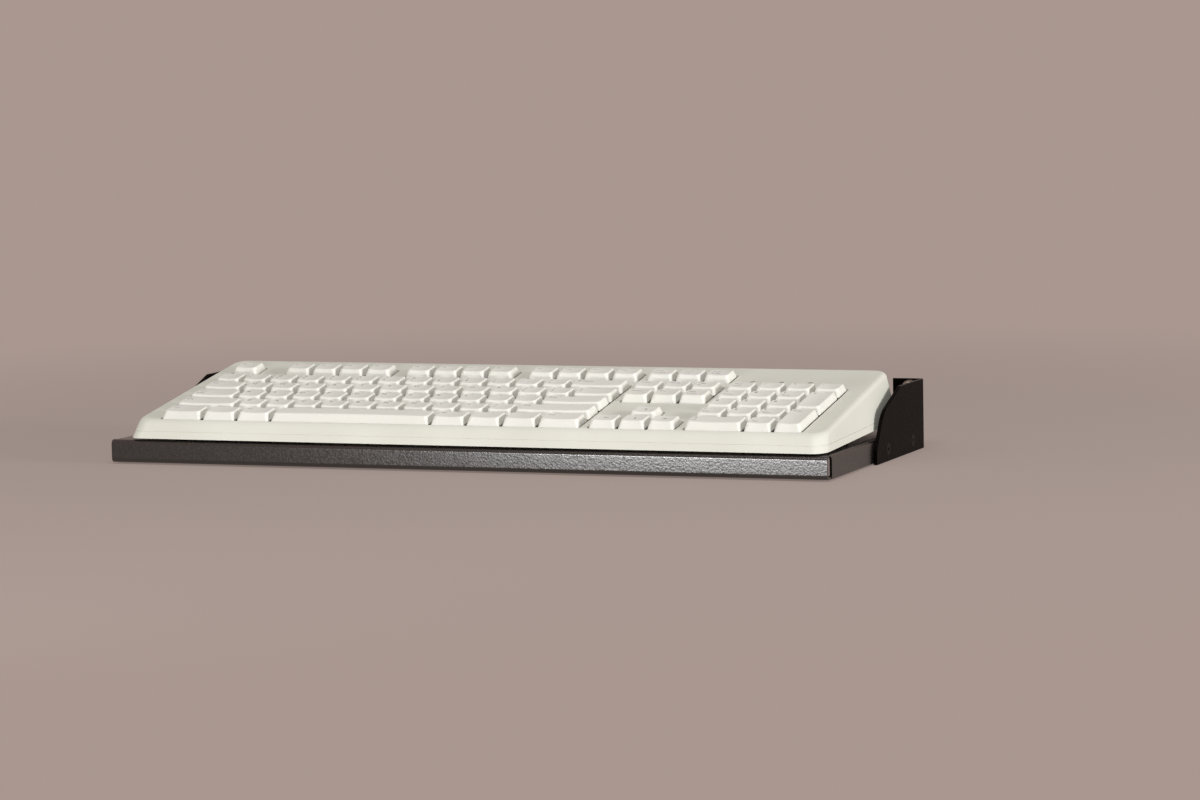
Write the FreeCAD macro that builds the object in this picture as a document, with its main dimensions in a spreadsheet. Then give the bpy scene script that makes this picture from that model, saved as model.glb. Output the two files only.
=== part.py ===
import FreeCAD, Part
import math
import os
import re
import Sketcher

# Rack keyboard shelf, 19 inch wide and one rack unit high, with the keyboard that lies on it.
# Row frame: +X right, +Y back into the rack, +Z up. The origin is the middle of the four rack
# screws, on the face of the rack rails. The keyboard and its parts are drawn in a case frame,
# level with the underside of its case, and the keys in a deck frame along the sloping deck.

V = FreeCAD.Vector

# Driving dimensions in millimetres and degrees: name, value, meaning.
SIZES = (
    ("rack_columns", 465.1, "between the two columns of rack holes, 19 inch rack"),
    ("rack_pair", 31.75, "between the upper and lower rack screw of one unit"),
    ("column_edge", 8.75, "from a column of rack holes to the outer face of the bracket"),
    ("rack_slot", 10.0, "length of the oblong hole in the ear"),
    ("rack_slot_width", 6.8, "width of the oblong hole in the ear"),
    ("rack_screw", 6.0, "thread of the rack screws"),
    ("rack_screw_reach", 14.0, "rack screw behind the ear"),
    ("rack_neck", 5.3, "bare neck of the rack screw, inside ear and washer"),
    ("rack_head", 10.0, "diameter of the rack screw's pan head"),
    ("rack_head_height", 3.8, "height of the pan head"),
    ("rack_crown", 1.9, "rounding of the pan head"),
    ("rack_recess", 5.0, "cross recess over its arms"),
    ("rack_recess_width", 1.1, "arm of the cross recess"),
    ("rack_recess_depth", 1.9, "depth of the cross recess"),
    ("rack_washer", 11.0, "diameter of the washer"),
    ("rack_washer_sheet", 1.2, "thickness of the washer"),
    ("bracket_height", 44.0, "one rack unit less its clearance"),
    ("bracket_sheet", 2.4, "steel of the brackets"),
    ("bracket_bend", 1.0, "inner bend radius of the brackets"),
    ("ear_width", 20.3, "ear on the rail, over the bend"),
    ("arm_length", 102.0, "arm along the tray, at its foot"),
    ("arm_top", 50.0, "arm along its top edge"),
    ("arm_nose_reach", 87.0, "from the rail to the knee of the arm's nose"),
    ("arm_nose_height", 9.0, "height of that knee over the origin"),
    ("arm_nose_round", 22.0, "radius at the knee"),
    ("arm_edge_round", 10.0, "radius at the other two corners of the nose"),
    ("tray_rear_gap", 14.0, "from the rail to the tray's rear face"),
    ("tray_strip", 22.5, "free tray behind the keyboard"),
    ("tray_lift", 1.0, "tray edge over the bracket's lower edge"),
    ("tray_sheet", 1.5, "steel of the tray"),
    ("tray_bend", 1.5, "inner bend radius of the tray"),
    ("flange_height", 14.5, "down-turned edge of the tray"),
    ("return_lip", 12.0, "inward return at the foot of the front edge"),
    ("corner_relief", 3.6, "open corner at the ends of the top and of the rear bar"),
    ("front_notch", 8.0, "from the front face to the side flanges, open between them"),
    ("front_end", 0.4, "end of the front edge inside the side flanges' outer faces"),
    ("rear_bar", 2.0, "flat bar on edge, welded under the tray's rear edge"),
    ("side_tab", 20.0, "top strip that carries a side flange"),
    ("arm_screw", 4.0, "thread of the screws between arm and tray"),
    ("arm_screw_first", 26.0, "from the rail to the first arm screw"),
    ("arm_screw_pitch", 52.0, "between the two arm screws"),
    ("arm_screw_drop", 8.0, "arm screw below the tray's top face"),
    ("arm_head", 8.0, "diameter of the countersunk head"),
    ("arm_recess", 2.0, "diameter of the recess in the countersunk head"),
    ("arm_recess_depth", 1.2, "depth of the recess in the countersunk head"),
    ("arm_nut", 7.0, "width of the nut across its flats"),
    ("arm_nut_height", 3.2, "height of the nut"),
    ("screw_fit", 0.2, "radial room of a screw in its clearance hole"),
    ("body_gap", 0.3, "room between pieces that move apart"),
    ("pivot_fit", 0.08, "radial room of a foot's pins"),
    ("arm_room", 2.4, "from the right arm to the keyboard's case"),
    ("case_offset", 4.5, "keyboard's middle to the right of the tray's"),
    ("case_setback", 0.5, "keyboard's front edge behind the tray's"),
    ("case_tilt", 2.0, "tilt of the keyboard on its open feet"),
    ("case_side", 17.6875, "case beside the key field, at its foot"),
    ("case_wall", 2.4, "wall of the case"),
    ("case_floor", 1.4, "floor of the case"),
    ("floor_room", 0.37, "from the floor to the skirt of the guide deck"),
    ("case_corner", 9.5, "radius of the case's upright corners"),
    ("side_lean", 7.0, "inward lean of a side wall over the lean height"),
    ("lean_height", 40.0, "height that the side lean is measured over"),
    ("lip_setback", 9.0, "top edge of the front face behind its foot"),
    ("front_wall", 3.2, "front wall, measured level"),
    ("rear_lean", 4.0, "rear top edge in front of the rear foot"),
    ("deck_slope", 8.3, "slope of the case's top"),
    ("split_height", 4.0, "joint between the two halves of the case"),
    ("field_keys", 22.5, "width of the key field in key pitches"),
    ("key_gap", 1.8, "between two key caps at their foot"),
    ("first_row", 21.0, "middle of the front key row behind the case's foot"),
    ("function_gap", 27.0, "from the number row to the function row"),
    ("rear_margin", 30.8, "case behind the middle of the function row, at its foot"),
    ("key_rise", 4.4, "top of a cap over the case"),
    ("key_skirt", 0.8, "foot of a cap below the case's top"),
    ("key_travel", 3.0, "stroke of a key"),
    ("cap_side_taper", 1.3, "lean of a cap's sides"),
    ("cap_front_taper", 3.4, "lean of a cap's front"),
    ("cap_back_taper", 1.4, "lean of a cap's back"),
    ("cap_wall", 1.2, "wall of a cap"),
    ("dish_depth", 0.5, "hollow in the top of a cap"),
    ("plunger_radius", 2.6, "plunger under each cap"),
    ("plunger_fit", 0.3, "radial room of the plunger in its barrel"),
    ("well_gap", 0.8, "around the caps in their well"),
    ("deck_sheet", 1.1, "guide deck under the caps"),
    ("deck_margin", 3.0, "guide deck outside the key field at its sides and rear"),
    ("deck_front_margin", 1.0, "guide deck outside the key field at its front"),
    ("deck_skirt", 1.5, "wall under the deck, around the mat"),
    ("barrel_radius", 4.1, "guide barrel on the deck"),
    ("barrel_rise", 2.6, "guide barrel over the deck"),
    ("plunger_tail", 0.3, "plunger below the deck when the key is up"),
    ("dome_radius", 3.9, "outside of a rubber dome"),
    ("dome_wall", 0.5, "wall of a rubber dome"),
    ("dome_height", 2.8, "height of a rubber dome"),
    ("mat_sheet", 0.6, "rubber mat"),
    ("mat_edge", 5.0, "mat outside the outer plunger axes"),
    ("film_sheet", 0.4, "contact film under the mat"),
    ("rib_sheet", 1.6, "ribs under the film"),
    ("rib_inset", 10.0, "outer ribs in from the ends of the key field"),
    ("post_radius", 3.6, "screw posts of the case"),
    ("post_inset", 15.5, "end posts in from the case's sides"),
    ("post_gap", 19.5, "from a foot to the screw post beside it"),
    ("post_rear", 13.0, "screw posts in front of the case's rear foot"),
    ("case_screw_radius", 1.4, "tapping screws of the case"),
    ("case_screw_length", 9.0, "length of the tapping screws"),
    ("case_head_radius", 2.7, "head of the tapping screws"),
    ("case_head_height", 1.0, "head height of the tapping screws"),
    ("case_slot_width", 0.5, "slot in the head of the tapping screws"),
    ("case_slot_depth", 0.5, "depth of that slot"),
    ("pad_width", 30.0, "rubber pads along the front"),
    ("pad_depth", 8.0, "rubber pads from front to back"),
    ("pad_inset", 26.0, "pads in from the case's sides"),
    ("pad_place", 14.0, "pads behind the case's front foot"),
    ("pad_height", 0.8, "case's front foot over the tray"),
    ("pad_sink", 0.5, "pads sunk into the floor"),
    ("foot_width", 34.0, "width of a flip foot"),
    ("foot_inset", 30.0, "feet in from the case's sides"),
    ("foot_rear", 17.0, "foot pivot in front of the case's rear foot"),
    ("foot_pivot_height", 2.6, "foot pivot over the case's underside"),
    ("foot_thickness", 3.0, "thickness of a foot"),
    ("foot_pin_radius", 1.2, "pins of a foot"),
    ("foot_pin_length", 1.6, "wall that a pin of a foot sits in"),
    ("foot_room", 0.5, "room around a foot in its recess"),
    ("board_width", 58.0, "controller board from left to right"),
    ("board_depth", 22.0, "controller board from front to back"),
    ("board_sheet", 1.6, "thickness of the controller board"),
    ("board_height", 8.0, "controller board over the case's underside"),
    ("board_rear_gap", 6.0, "controller board in front of the rear wall"),
    ("chip_size", 12.0, "controller chip"),
    ("chip_height", 2.5, "height of the chip"),
    ("plug_width", 12.0, "connector for the contact film"),
    ("plug_depth", 2.5, "connector from front to back"),
    ("plug_height", 5.0, "height of the connector"),
    ("plug_gap", 6.0, "from the chip to the connector"),
    ("boss_radius", 3.0, "bosses under the board"),
    ("lens_radius", 1.5, "indicator light pipes"),
    ("lens_proud", 0.3, "light pipes over the case"),
    ("lens_place", 11.5, "light pipes behind the number row"),
    ("lens_column", 19.0, "first light pipe, in key pitches from the left key edge"),
    ("outlet_radius", 4.5, "outlet of the lead in the rear wall"),
    ("outlet_height", 11.0, "outlet over the case's underside"),
    ("grommet_rim", 1.5, "grommet's flange around the outlet"),
    ("grommet_wall", 2.1, "wall of the grommet's neck"),
)

VALUE = {name: value for name, value, meaning in SIZES}

# Key rows from the front, in the order of their distance from the front row.
ROWS = ("bottom", "lower", "home", "upper", "number", "function")


def run_of_keys(row, first, count):
    return [(row, first + step, 1.0, 1) for step in range(count)]


# Keys of each node: row, left edge in key pitches, width in key pitches, rows deep.
KEYS = {
    "escape_key": [("function", 0.0, 1.0, 1)],
    "function_keys_1_to_4": run_of_keys("function", 2.0, 4),
    "function_keys_5_to_8": run_of_keys("function", 6.5, 4),
    "function_keys_9_to_12": run_of_keys("function", 11.0, 4),
    "print_scroll_pause_keys": run_of_keys("function", 15.25, 3),
    "number_row_keys": run_of_keys("number", 0.0, 13),
    "backspace_key": [("number", 13.0, 2.0, 1)],
    "tab_key": [("upper", 0.0, 1.5, 1)],
    "upper_letter_keys": run_of_keys("upper", 1.5, 12) + [("upper", 13.5, 1.5, 1)],
    "caps_lock_key": [("home", 0.0, 1.75, 1)],
    "home_letter_keys": run_of_keys("home", 1.75, 11),
    "enter_key": [("home", 12.75, 2.25, 1)],
    "left_shift_key": [("lower", 0.0, 2.25, 1)],
    "lower_letter_keys": run_of_keys("lower", 2.25, 10),
    "right_shift_key": [("lower", 12.25, 2.75, 1)],
    "left_control_key": [("bottom", 0.0, 1.5, 1)],
    "left_system_key": [("bottom", 1.5, 1.25, 1)],
    "left_alt_key": [("bottom", 2.75, 1.25, 1)],
    "space_bar": [("bottom", 4.0, 5.75, 1)],
    "right_alt_key": [("bottom", 9.75, 1.25, 1)],
    "right_system_key": [("bottom", 11.0, 1.25, 1)],
    "menu_key": [("bottom", 12.25, 1.25, 1)],
    "right_control_key": [("bottom", 13.5, 1.5, 1)],
    "insert_home_page_up_keys": run_of_keys("number", 15.25, 3),
    "delete_end_page_down_keys": run_of_keys("upper", 15.25, 3),
    "arrow_up_key": run_of_keys("lower", 16.25, 1),
    "arrow_left_key": run_of_keys("bottom", 15.25, 1),
    "arrow_down_key": run_of_keys("bottom", 16.25, 1),
    "arrow_right_key": run_of_keys("bottom", 17.25, 1),
    "numpad_top_keys": run_of_keys("number", 18.5, 4),
    "numpad_7_8_9_keys": run_of_keys("upper", 18.5, 3),
    "numpad_4_5_6_keys": run_of_keys("home", 18.5, 3),
    "numpad_1_2_3_keys": run_of_keys("lower", 18.5, 3),
    "numpad_plus_key": [("home", 21.5, 1.0, 2)],
    "numpad_enter_key": [("bottom", 21.5, 1.0, 2)],
    "numpad_zero_key": [("bottom", 18.5, 2.0, 1)],
    "numpad_point_key": run_of_keys("bottom", 20.5, 1),
}

# Openings in the case over the key blocks: first row, left edge and width in pitches, rows deep.
WELLS = {
    "escape": ("function", 0.0, 1.0, 1),
    "function_left": ("function", 2.0, 4.0, 1),
    "function_middle": ("function", 6.5, 4.0, 1),
    "function_right": ("function", 11.0, 4.0, 1),
    "print_block": ("function", 15.25, 3.0, 1),
    "letters": ("bottom", 0.0, 15.0, 5),
    "editing": ("upper", 15.25, 3.0, 2),
    "arrow_top": ("lower", 16.25, 1.0, 1),
    "arrows": ("bottom", 15.25, 3.0, 1),
    "numpad": ("bottom", 18.5, 4.0, 5),
}

LENSES = 3
RIBS_A_SIDE = 3
WIDEST_DISH = 3.0

doc = FreeCAD.newDocument("rack_keyboard_shelf")
parts = {}


def make_sheet():
    sheet = doc.addObject("Spreadsheet::Sheet", "sizes")
    for line, (name, value, meaning) in enumerate(SIZES, start=1):
        sheet.set("A%d" % line, name)
        sheet.set("B%d" % line, str(value))
        sheet.setAlias("B%d" % line, name)
        sheet.set("C%d" % line, meaning)
    doc.recompute()


def formula(text):
    """Give each size in a formula its place in the sheet."""
    def in_sheet(word):
        return "sizes." + word[0] if word[0] in VALUE else word[0]
    return re.sub(r"[a-z][a-z_]*", in_sheet, text)


def bind(thing, **formulas):
    for name, text in formulas.items():
        thing.setExpression(name, formula(text))
    return thing


def place(thing, x="0", y="0", z="0", axis=None, angle="0"):
    """Put a piece at a point, turned about one axis by an angle."""
    if axis is not None:
        thing.Placement = FreeCAD.Placement(V(0, 0, 0), FreeCAD.Rotation(axis, 1))
        thing.setExpression("Placement.Rotation.Angle", formula(angle))
    thing.setExpression("Placement.Base.x", formula(x))
    thing.setExpression("Placement.Base.y", formula(y))
    thing.setExpression("Placement.Base.z", formula(z))
    return thing


X_AXIS = V(1, 0, 0)
Y_AXIS = V(0, 1, 0)
Z_AXIS = V(0, 0, 1)


def box(name, size, at, axis=None, angle="0"):
    solid = doc.addObject("Part::Box", name)
    bind(solid, Length=size[0], Width=size[1], Height=size[2])
    return place(solid, *at, axis=axis, angle=angle)


def cylinder(name, radius, height, at, axis=None, angle="0"):
    solid = doc.addObject("Part::Cylinder", name)
    bind(solid, Radius=radius, Height=height)
    return place(solid, *at, axis=axis, angle=angle)


def cone(name, radius_low, radius_high, height, at, axis=None, angle="0"):
    solid = doc.addObject("Part::Cone", name)
    bind(solid, Radius1=radius_low, Radius2=radius_high, Height=height)
    return place(solid, *at, axis=axis, angle=angle)


def fuse(name, pieces):
    joined = doc.addObject("Part::MultiFuse", name)
    joined.Shapes = pieces
    return joined


def cut(name, base, tools):
    taken = doc.addObject("Part::Cut", name)
    taken.Base = base
    taken.Tool = tools[0] if len(tools) == 1 else fuse(name + "_tools", tools)
    return taken


def common(name, first, second):
    shared = doc.addObject("Part::Common", name)
    shared.Base = first
    shared.Tool = second
    return shared


def group(name, pieces):
    """Separate solids of one node."""
    together = doc.addObject("Part::Compound", name)
    together.Links = pieces
    return together


def copy_of(name, source, x="0", y="0", z="0"):
    twin = doc.addObject("App::Link", name)
    twin.LinkedObject = source
    twin.LinkTransform = True
    return place(twin, x, y, z)


def mirror_of(name, source):
    twin = doc.addObject("Part::Mirroring", name)
    twin.Source = source
    twin.Normal = X_AXIS
    twin.Base = V(0, 0, 0)
    return twin


def keep(node, thing):
    """Name a finished sub-part."""
    thing.Label = node
    parts[node] = thing
    return thing


def origin_plane(body, role):
    return [feature for feature in body.Origin.OriginFeatures if feature.Role == role][0]


def outline_sketch(body, name, role, points):
    """A closed outline of straight lines, each corner bound to two formulas."""
    sketch = body.newObject("Sketcher::SketchObject", name)
    sketch.AttachmentSupport = (origin_plane(body, role), "")
    sketch.MapMode = "FlatFace"
    count = len(points)
    rough = []
    for corner in range(count):
        turn = 2 * math.pi * corner / count
        rough.append(V(50 * math.cos(turn), 50 * math.sin(turn), 0))
    for corner in range(count):
        sketch.addGeometry(Part.LineSegment(rough[corner], rough[(corner + 1) % count]), False)
    for corner in range(count):
        sketch.addConstraint(Sketcher.Constraint("Coincident", corner, 2, (corner + 1) % count, 1))
    for corner, (across, up) in enumerate(points):
        spot = rough[corner]
        for kind, text, start in (("DistanceX", across, spot.x), ("DistanceY", up, spot.y)):
            number = sketch.addConstraint(Sketcher.Constraint(kind, -1, 1, corner, 1, start))
            sketch.setExpression("Constraints[%d]" % number, formula(text))
    return sketch


def pad(body, name, sketch, length, both_ways=False):
    feature = body.newObject("PartDesign::Pad", name)
    feature.Profile = sketch
    feature.Midplane = both_ways
    bind(feature, Length=length)
    doc.recompute()
    return feature


def edge_names(shape, test):
    return ["Edge%d" % number for number, edge in enumerate(shape.Edges, start=1) if test(edge)]


def runs_along(edge, axis):
    if not isinstance(edge.Curve, Part.Line):
        return False
    return abs(abs(edge.tangentAt(edge.FirstParameter).dot(axis)) - 1) < 1e-6


def middle(edge):
    return edge.valueAt((edge.FirstParameter + edge.LastParameter) / 2)


def round_edges(body, name, base, test, radius):
    names = edge_names(base.Shape, test)
    if not names:
        raise ValueError("no edge to round for " + name)
    feature = body.newObject("PartDesign::Fillet", name)
    feature.Base = (base, names)
    bind(feature, Radius=radius)
    doc.recompute()
    return feature


SIDES = (("left", "-1"), ("right", "1"))

# Sizes that follow from others. The keyboard fills the room between the arms, so its key pitch
# follows the rack: 19.05 mm with the sizes above.
PANEL_HALF = "(rack_columns / 2 + column_edge)"
TRAY_HALF = "(%s - bracket_sheet)" % PANEL_HALF
TOP_HALF = "(%s - corner_relief)" % TRAY_HALF
TRAY_LOW = "(tray_lift - bracket_height / 2)"
TRAY_TOP = "(%s + flange_height)" % TRAY_LOW
CASE_HALF = "(%s - arm_room - case_offset)" % TRAY_HALF
PITCH = "((%s - case_side) * 2 / field_keys)" % CASE_HALF
CASE_DEPTH = "(first_row + 4 * %s + function_gap + rear_margin)" % PITCH
TRAY_REACH = "(tray_rear_gap + tray_strip + %s + case_setback)" % CASE_DEPTH
ARM_SCREW_HEIGHT = "(%s - arm_screw_drop)" % TRAY_TOP

# Levels below the case's top, in the deck frame.
DECK_TOP = "(key_skirt + key_travel + body_gap)"
DECK_LOW = "(%s + deck_sheet)" % DECK_TOP
MAT_TOP = "(%s + plunger_tail + key_travel + body_gap)" % DECK_LOW
FILM_TOP = "(%s + mat_sheet)" % MAT_TOP
FILM_LOW = "(%s + film_sheet)" % FILM_TOP
MAT_MARGIN = "(mat_edge - %s / 2)" % PITCH
SKIRT_ROOM = "(%s + body_gap)" % MAT_MARGIN

# The front of the case is just high enough for this stack of deck, mat and film.
STACK = "(%s * cos(deck_slope) + (mat_edge + body_gap + deck_skirt) * sin(deck_slope))" % FILM_LOW
LIP_HEIGHT = "(case_floor + floor_room + %s - (first_row - lip_setback) * tan(deck_slope))" % STACK

CASE_Y = "(case_setback - %s)" % TRAY_REACH
CASE_Z = "(%s + body_gap + pad_height)" % TRAY_TOP
INNER_POST = "(%s - foot_inset - foot_width - post_gap)" % CASE_HALF
END_POST = "(%s - post_inset)" % CASE_HALF
POSTS = ["-" + END_POST, "-" + INNER_POST, "-%s / 2" % INNER_POST, "0"]
POSTS += ["%s / 2" % INNER_POST, INNER_POST, END_POST]
POST_Y = "(%s - post_rear)" % CASE_DEPTH
POST_FOOT = "(case_floor + body_gap)"
FOOT_Y = "(%s - foot_rear)" % CASE_DEPTH
FOOT_DROP = "(%s * tan(case_tilt) + pad_height)" % FOOT_Y
FOOT_LENGTH = "(foot_pivot_height + %s)" % FOOT_DROP
PAD_DROP = "(pad_height + pad_place * tan(case_tilt))"
BOARD_X = "(3 / 4 * %s)" % INNER_POST
BOARD_Y = "(%s - board_rear_gap - case_wall - board_depth / 2)" % CASE_DEPTH
OUTLET_X = "(%s / -4)" % INNER_POST


def deck_height(along):
    """The case's top over its underside, at a distance behind its front foot."""
    return "(%s + (%s - lip_setback) * tan(deck_slope))" % (LIP_HEIGHT, along)


def on_line(axis, **place_of):
    """A test for edges along an axis whose middle lies at the given coordinates."""
    def test(edge):
        point = middle(edge)
        near = [abs(getattr(point, name) - value) < 1e-3 for name, value in place_of.items()]
        return runs_along(edge, axis) and all(near)
    return test


def any_of(*tests):
    return lambda edge: any(test(edge) for test in tests)


def front_fold(name, rear, half):
    """Front edge with its return lip and the top as far back as given, as one section."""
    body = doc.addObject("PartDesign::Body", name + "_body")
    front = "-" + TRAY_REACH
    section = [
        (front, TRAY_LOW),
        (front, TRAY_TOP),
        (rear, TRAY_TOP),
        (rear, TRAY_TOP + " - tray_sheet"),
        (front + " + tray_sheet", TRAY_TOP + " - tray_sheet"),
        (front + " + tray_sheet", TRAY_LOW + " + tray_sheet"),
        (front + " + return_lip", TRAY_LOW + " + tray_sheet"),
        (front + " + return_lip", TRAY_LOW),
    ]
    sketch = outline_sketch(body, name + "_section", "YZ_Plane", section)
    sheet = pad(body, name, sketch, "2 * " + half, both_ways=True)
    limits = sheet.Shape.BoundBox
    thick = VALUE["tray_sheet"]
    inner = any_of(on_line(X_AXIS, y=limits.YMin + thick, z=limits.ZMax - thick),
                   on_line(X_AXIS, y=limits.YMin + thick, z=limits.ZMin + thick))
    outer = any_of(on_line(X_AXIS, y=limits.YMin, z=limits.ZMax),
                   on_line(X_AXIS, y=limits.YMin, z=limits.ZMin))
    sheet = round_edges(body, name + "_inner_bends", sheet, inner, "tray_bend")
    round_edges(body, name + "_outer_bends", sheet, outer, "tray_bend + tray_sheet")
    return body


def side_flange():
    """The right down-turned side of the tray with the strip of top that carries it."""
    body = doc.addObject("PartDesign::Body", "side_flange_body")
    section = [
        (TRAY_HALF + " - side_tab", TRAY_TOP),
        (TRAY_HALF, TRAY_TOP),
        (TRAY_HALF, TRAY_LOW),
        (TRAY_HALF + " - tray_sheet", TRAY_LOW),
        (TRAY_HALF + " - tray_sheet", TRAY_TOP + " - tray_sheet"),
        (TRAY_HALF + " - side_tab", TRAY_TOP + " - tray_sheet"),
    ]
    sketch = outline_sketch(body, "side_section", "XZ_Plane", section)
    length = TRAY_REACH + " - tray_rear_gap - corner_relief - front_notch"
    flange = pad(body, "side_flange", sketch, length)
    limits = flange.Shape.BoundBox
    thick = VALUE["tray_sheet"]
    inner = on_line(Y_AXIS, x=limits.XMax - thick, z=limits.ZMax - thick)
    outer = on_line(Y_AXIS, x=limits.XMax, z=limits.ZMax)
    flange = round_edges(body, "side_inner_bend", flange, inner, "tray_bend")
    round_edges(body, "side_outer_bend", flange, outer, "tray_bend + tray_sheet")
    return place(body, y="-tray_rear_gap - corner_relief")


def arm_screw_rows():
    """Distances of the arm screws in front of the rail."""
    return ["(-arm_screw_first - %d * arm_screw_pitch)" % step for step in (0, 1)]


def make_tray():
    """Folded sheet: a flat top with down-turned front and sides, and open corners. The front
    edge runs on past the top's corners to the tray's full width."""
    top = front_fold("tray_top", "-tray_rear_gap", TOP_HALF)
    bend_end = "(tray_bend + 2 * tray_sheet - %s)" % TRAY_REACH
    edge = front_fold("tray_front", bend_end, "(%s - front_end)" % TRAY_HALF)
    flange = side_flange()
    pieces = [top, edge, flange, mirror_of("left_side_flange", flange)]
    sheet_metal = fuse("tray_sheet_metal", pieces)
    holes = []
    for side, sign in SIDES:
        for number, along in enumerate(arm_screw_rows()):
            start = "%s * %s - 2 * tray_sheet" % (sign, TRAY_HALF)
            holes.append(cylinder("tray_%s_hole_%d" % (side, number), "arm_screw / 2 + screw_fit",
                                  "4 * tray_sheet", (start, along, ARM_SCREW_HEIGHT), Y_AXIS, "90"))
    keep("shelf_tray", cut("tray", sheet_metal, holes))


def make_rear_bar():
    """Flat bar on edge that stiffens the tray's rear, as low as the tray's other edges."""
    keep("rear_bar", box("flat_bar", ("2 * " + TOP_HALF, "rear_bar", "flange_height - tray_sheet"),
                         ("-" + TOP_HALF, "-tray_rear_gap - rear_bar", TRAY_LOW)))


def bracket_sheet_metal():
    """The right bracket bent from one sheet, before its holes."""
    body = doc.addObject("PartDesign::Body", "bracket_body")
    low = "-bracket_height / 2"
    high = "bracket_height / 2"
    arm = [
        ("0", low),
        ("0", high),
        ("-arm_top", high),
        ("-arm_nose_reach", "arm_nose_height"),
        ("-arm_length", TRAY_LOW + " + flange_height / 2"),
        ("-arm_length", low),
    ]
    sketch = outline_sketch(body, "arm_outline", "YZ_Plane", arm)
    plate = pad(body, "arm", sketch, "bracket_sheet")

    def toe(edge):
        above = middle(edge).z > 1e-3 - VALUE["bracket_height"] / 2
        return above and on_line(X_AXIS, y=-VALUE["arm_length"])(edge)

    knee = on_line(X_AXIS, y=-VALUE["arm_nose_reach"])
    shoulder = on_line(X_AXIS, y=-VALUE["arm_top"])
    plate = round_edges(body, "arm_knee", plate, knee, "arm_nose_round")
    plate = round_edges(body, "arm_shoulder", plate, shoulder, "arm_edge_round")
    plate = round_edges(body, "arm_toe", plate, toe, "arm_edge_round")
    ear = [
        ("bracket_sheet", low),
        ("bracket_sheet", high),
        ("bracket_sheet - ear_width", high),
        ("bracket_sheet - ear_width", low),
    ]
    sketch = outline_sketch(body, "ear_outline", "XZ_Plane", ear)
    plate = pad(body, "ear", sketch, "bracket_sheet")
    inner_bend = on_line(Z_AXIS, x=0, y=-VALUE["bracket_sheet"])
    outer_bend = on_line(Z_AXIS, x=VALUE["bracket_sheet"], y=0)
    plate = round_edges(body, "bracket_inner_bend", plate, inner_bend, "bracket_bend")
    round_edges(body, "bracket_outer_bend", plate, outer_bend, "bracket_bend + bracket_sheet")
    return place(body, x=TRAY_HALF)


def make_brackets():
    """Two brackets: an arm along the tray with countersinks, and an ear with oblong holes."""
    holes = []
    straight = "(rack_slot - rack_slot_width)"
    through = "3 * bracket_sheet"
    for name, sign in (("upper", "1"), ("lower", "-1")):
        height = sign + " * rack_pair / 2"
        inner = "rack_columns / 2 - %s / 2" % straight
        spot = (inner, "-2 * bracket_sheet", height + " - rack_slot_width / 2")
        holes.append(box("slot_middle_" + name, (straight, through, "rack_slot_width"), spot))
        for end, across in (("inner", inner), ("outer", "rack_columns / 2 + %s / 2" % straight)):
            holes.append(cylinder("slot_%s_%s" % (end, name), "rack_slot_width / 2", through,
                                  (across, "bracket_sheet", height), X_AXIS, "90"))
    for number, along in enumerate(arm_screw_rows()):
        spot = (TRAY_HALF, along, ARM_SCREW_HEIGHT)
        holes.append(cone("countersink_%d" % number, "arm_screw / 2 + screw_fit",
                          "arm_head / 2 + screw_fit", "bracket_sheet", spot, Y_AXIS, "90"))
    right = keep("right_bracket", cut("bracket", bracket_sheet_metal(), holes))
    keep("left_bracket", mirror_of("bracket_mirror", right))


def arm_screw_at(number, along):
    """A countersunk screw, flush with the arm."""
    inside = TRAY_HALF + " - tray_sheet - arm_nut_height - screw_fit"
    length = "arm_nut_height + tray_sheet + bracket_sheet + screw_fit"
    shank = cylinder("arm_shank_%d" % number, "arm_screw / 2", length,
                     (inside, along, ARM_SCREW_HEIGHT), Y_AXIS, "90")
    head = cone("arm_head_%d" % number, "arm_screw / 2", "arm_head / 2", "bracket_sheet",
                (TRAY_HALF, along, ARM_SCREW_HEIGHT), Y_AXIS, "90")
    recess = cylinder("arm_recess_%d" % number, "arm_recess / 2", "2 * arm_recess_depth",
                      (PANEL_HALF + " - arm_recess_depth", along, ARM_SCREW_HEIGHT), Y_AXIS, "90")
    return cut("arm_screw_%d" % number, fuse("arm_screw_blank_%d" % number, [shank, head]), [recess])


def arm_nut_at(number, along):
    spot = (TRAY_HALF + " - tray_sheet - arm_nut_height", along, ARM_SCREW_HEIGHT)
    prism = doc.addObject("Part::Prism", "arm_nut_blank_%d" % number)
    prism.Polygon = 6
    bind(prism, Circumradius="arm_nut / 2 / cos(30)", Height="arm_nut_height")
    place(prism, *spot, axis=Y_AXIS, angle="90")
    bore = cylinder("arm_nut_bore_%d" % number, "arm_screw / 2", "arm_nut_height", spot, Y_AXIS, "90")
    return cut("arm_nut_%d" % number, prism, [bore])


def make_arm_screws():
    """Screws through arm and tray edge, each with its nut inside the edge."""
    screws = []
    nuts = []
    for number, along in enumerate(arm_screw_rows()):
        screws.append(arm_screw_at(number, along))
        nuts.append(arm_nut_at(number, along))
    screws += [mirror_of("left_" + screw.Name, screw) for screw in screws]
    nuts += [mirror_of("left_" + nut.Name, nut) for nut in nuts]
    keep("arm_screws", group("arm_screw_set", screws))
    keep("arm_nuts", group("arm_nut_set", nuts))


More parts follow.
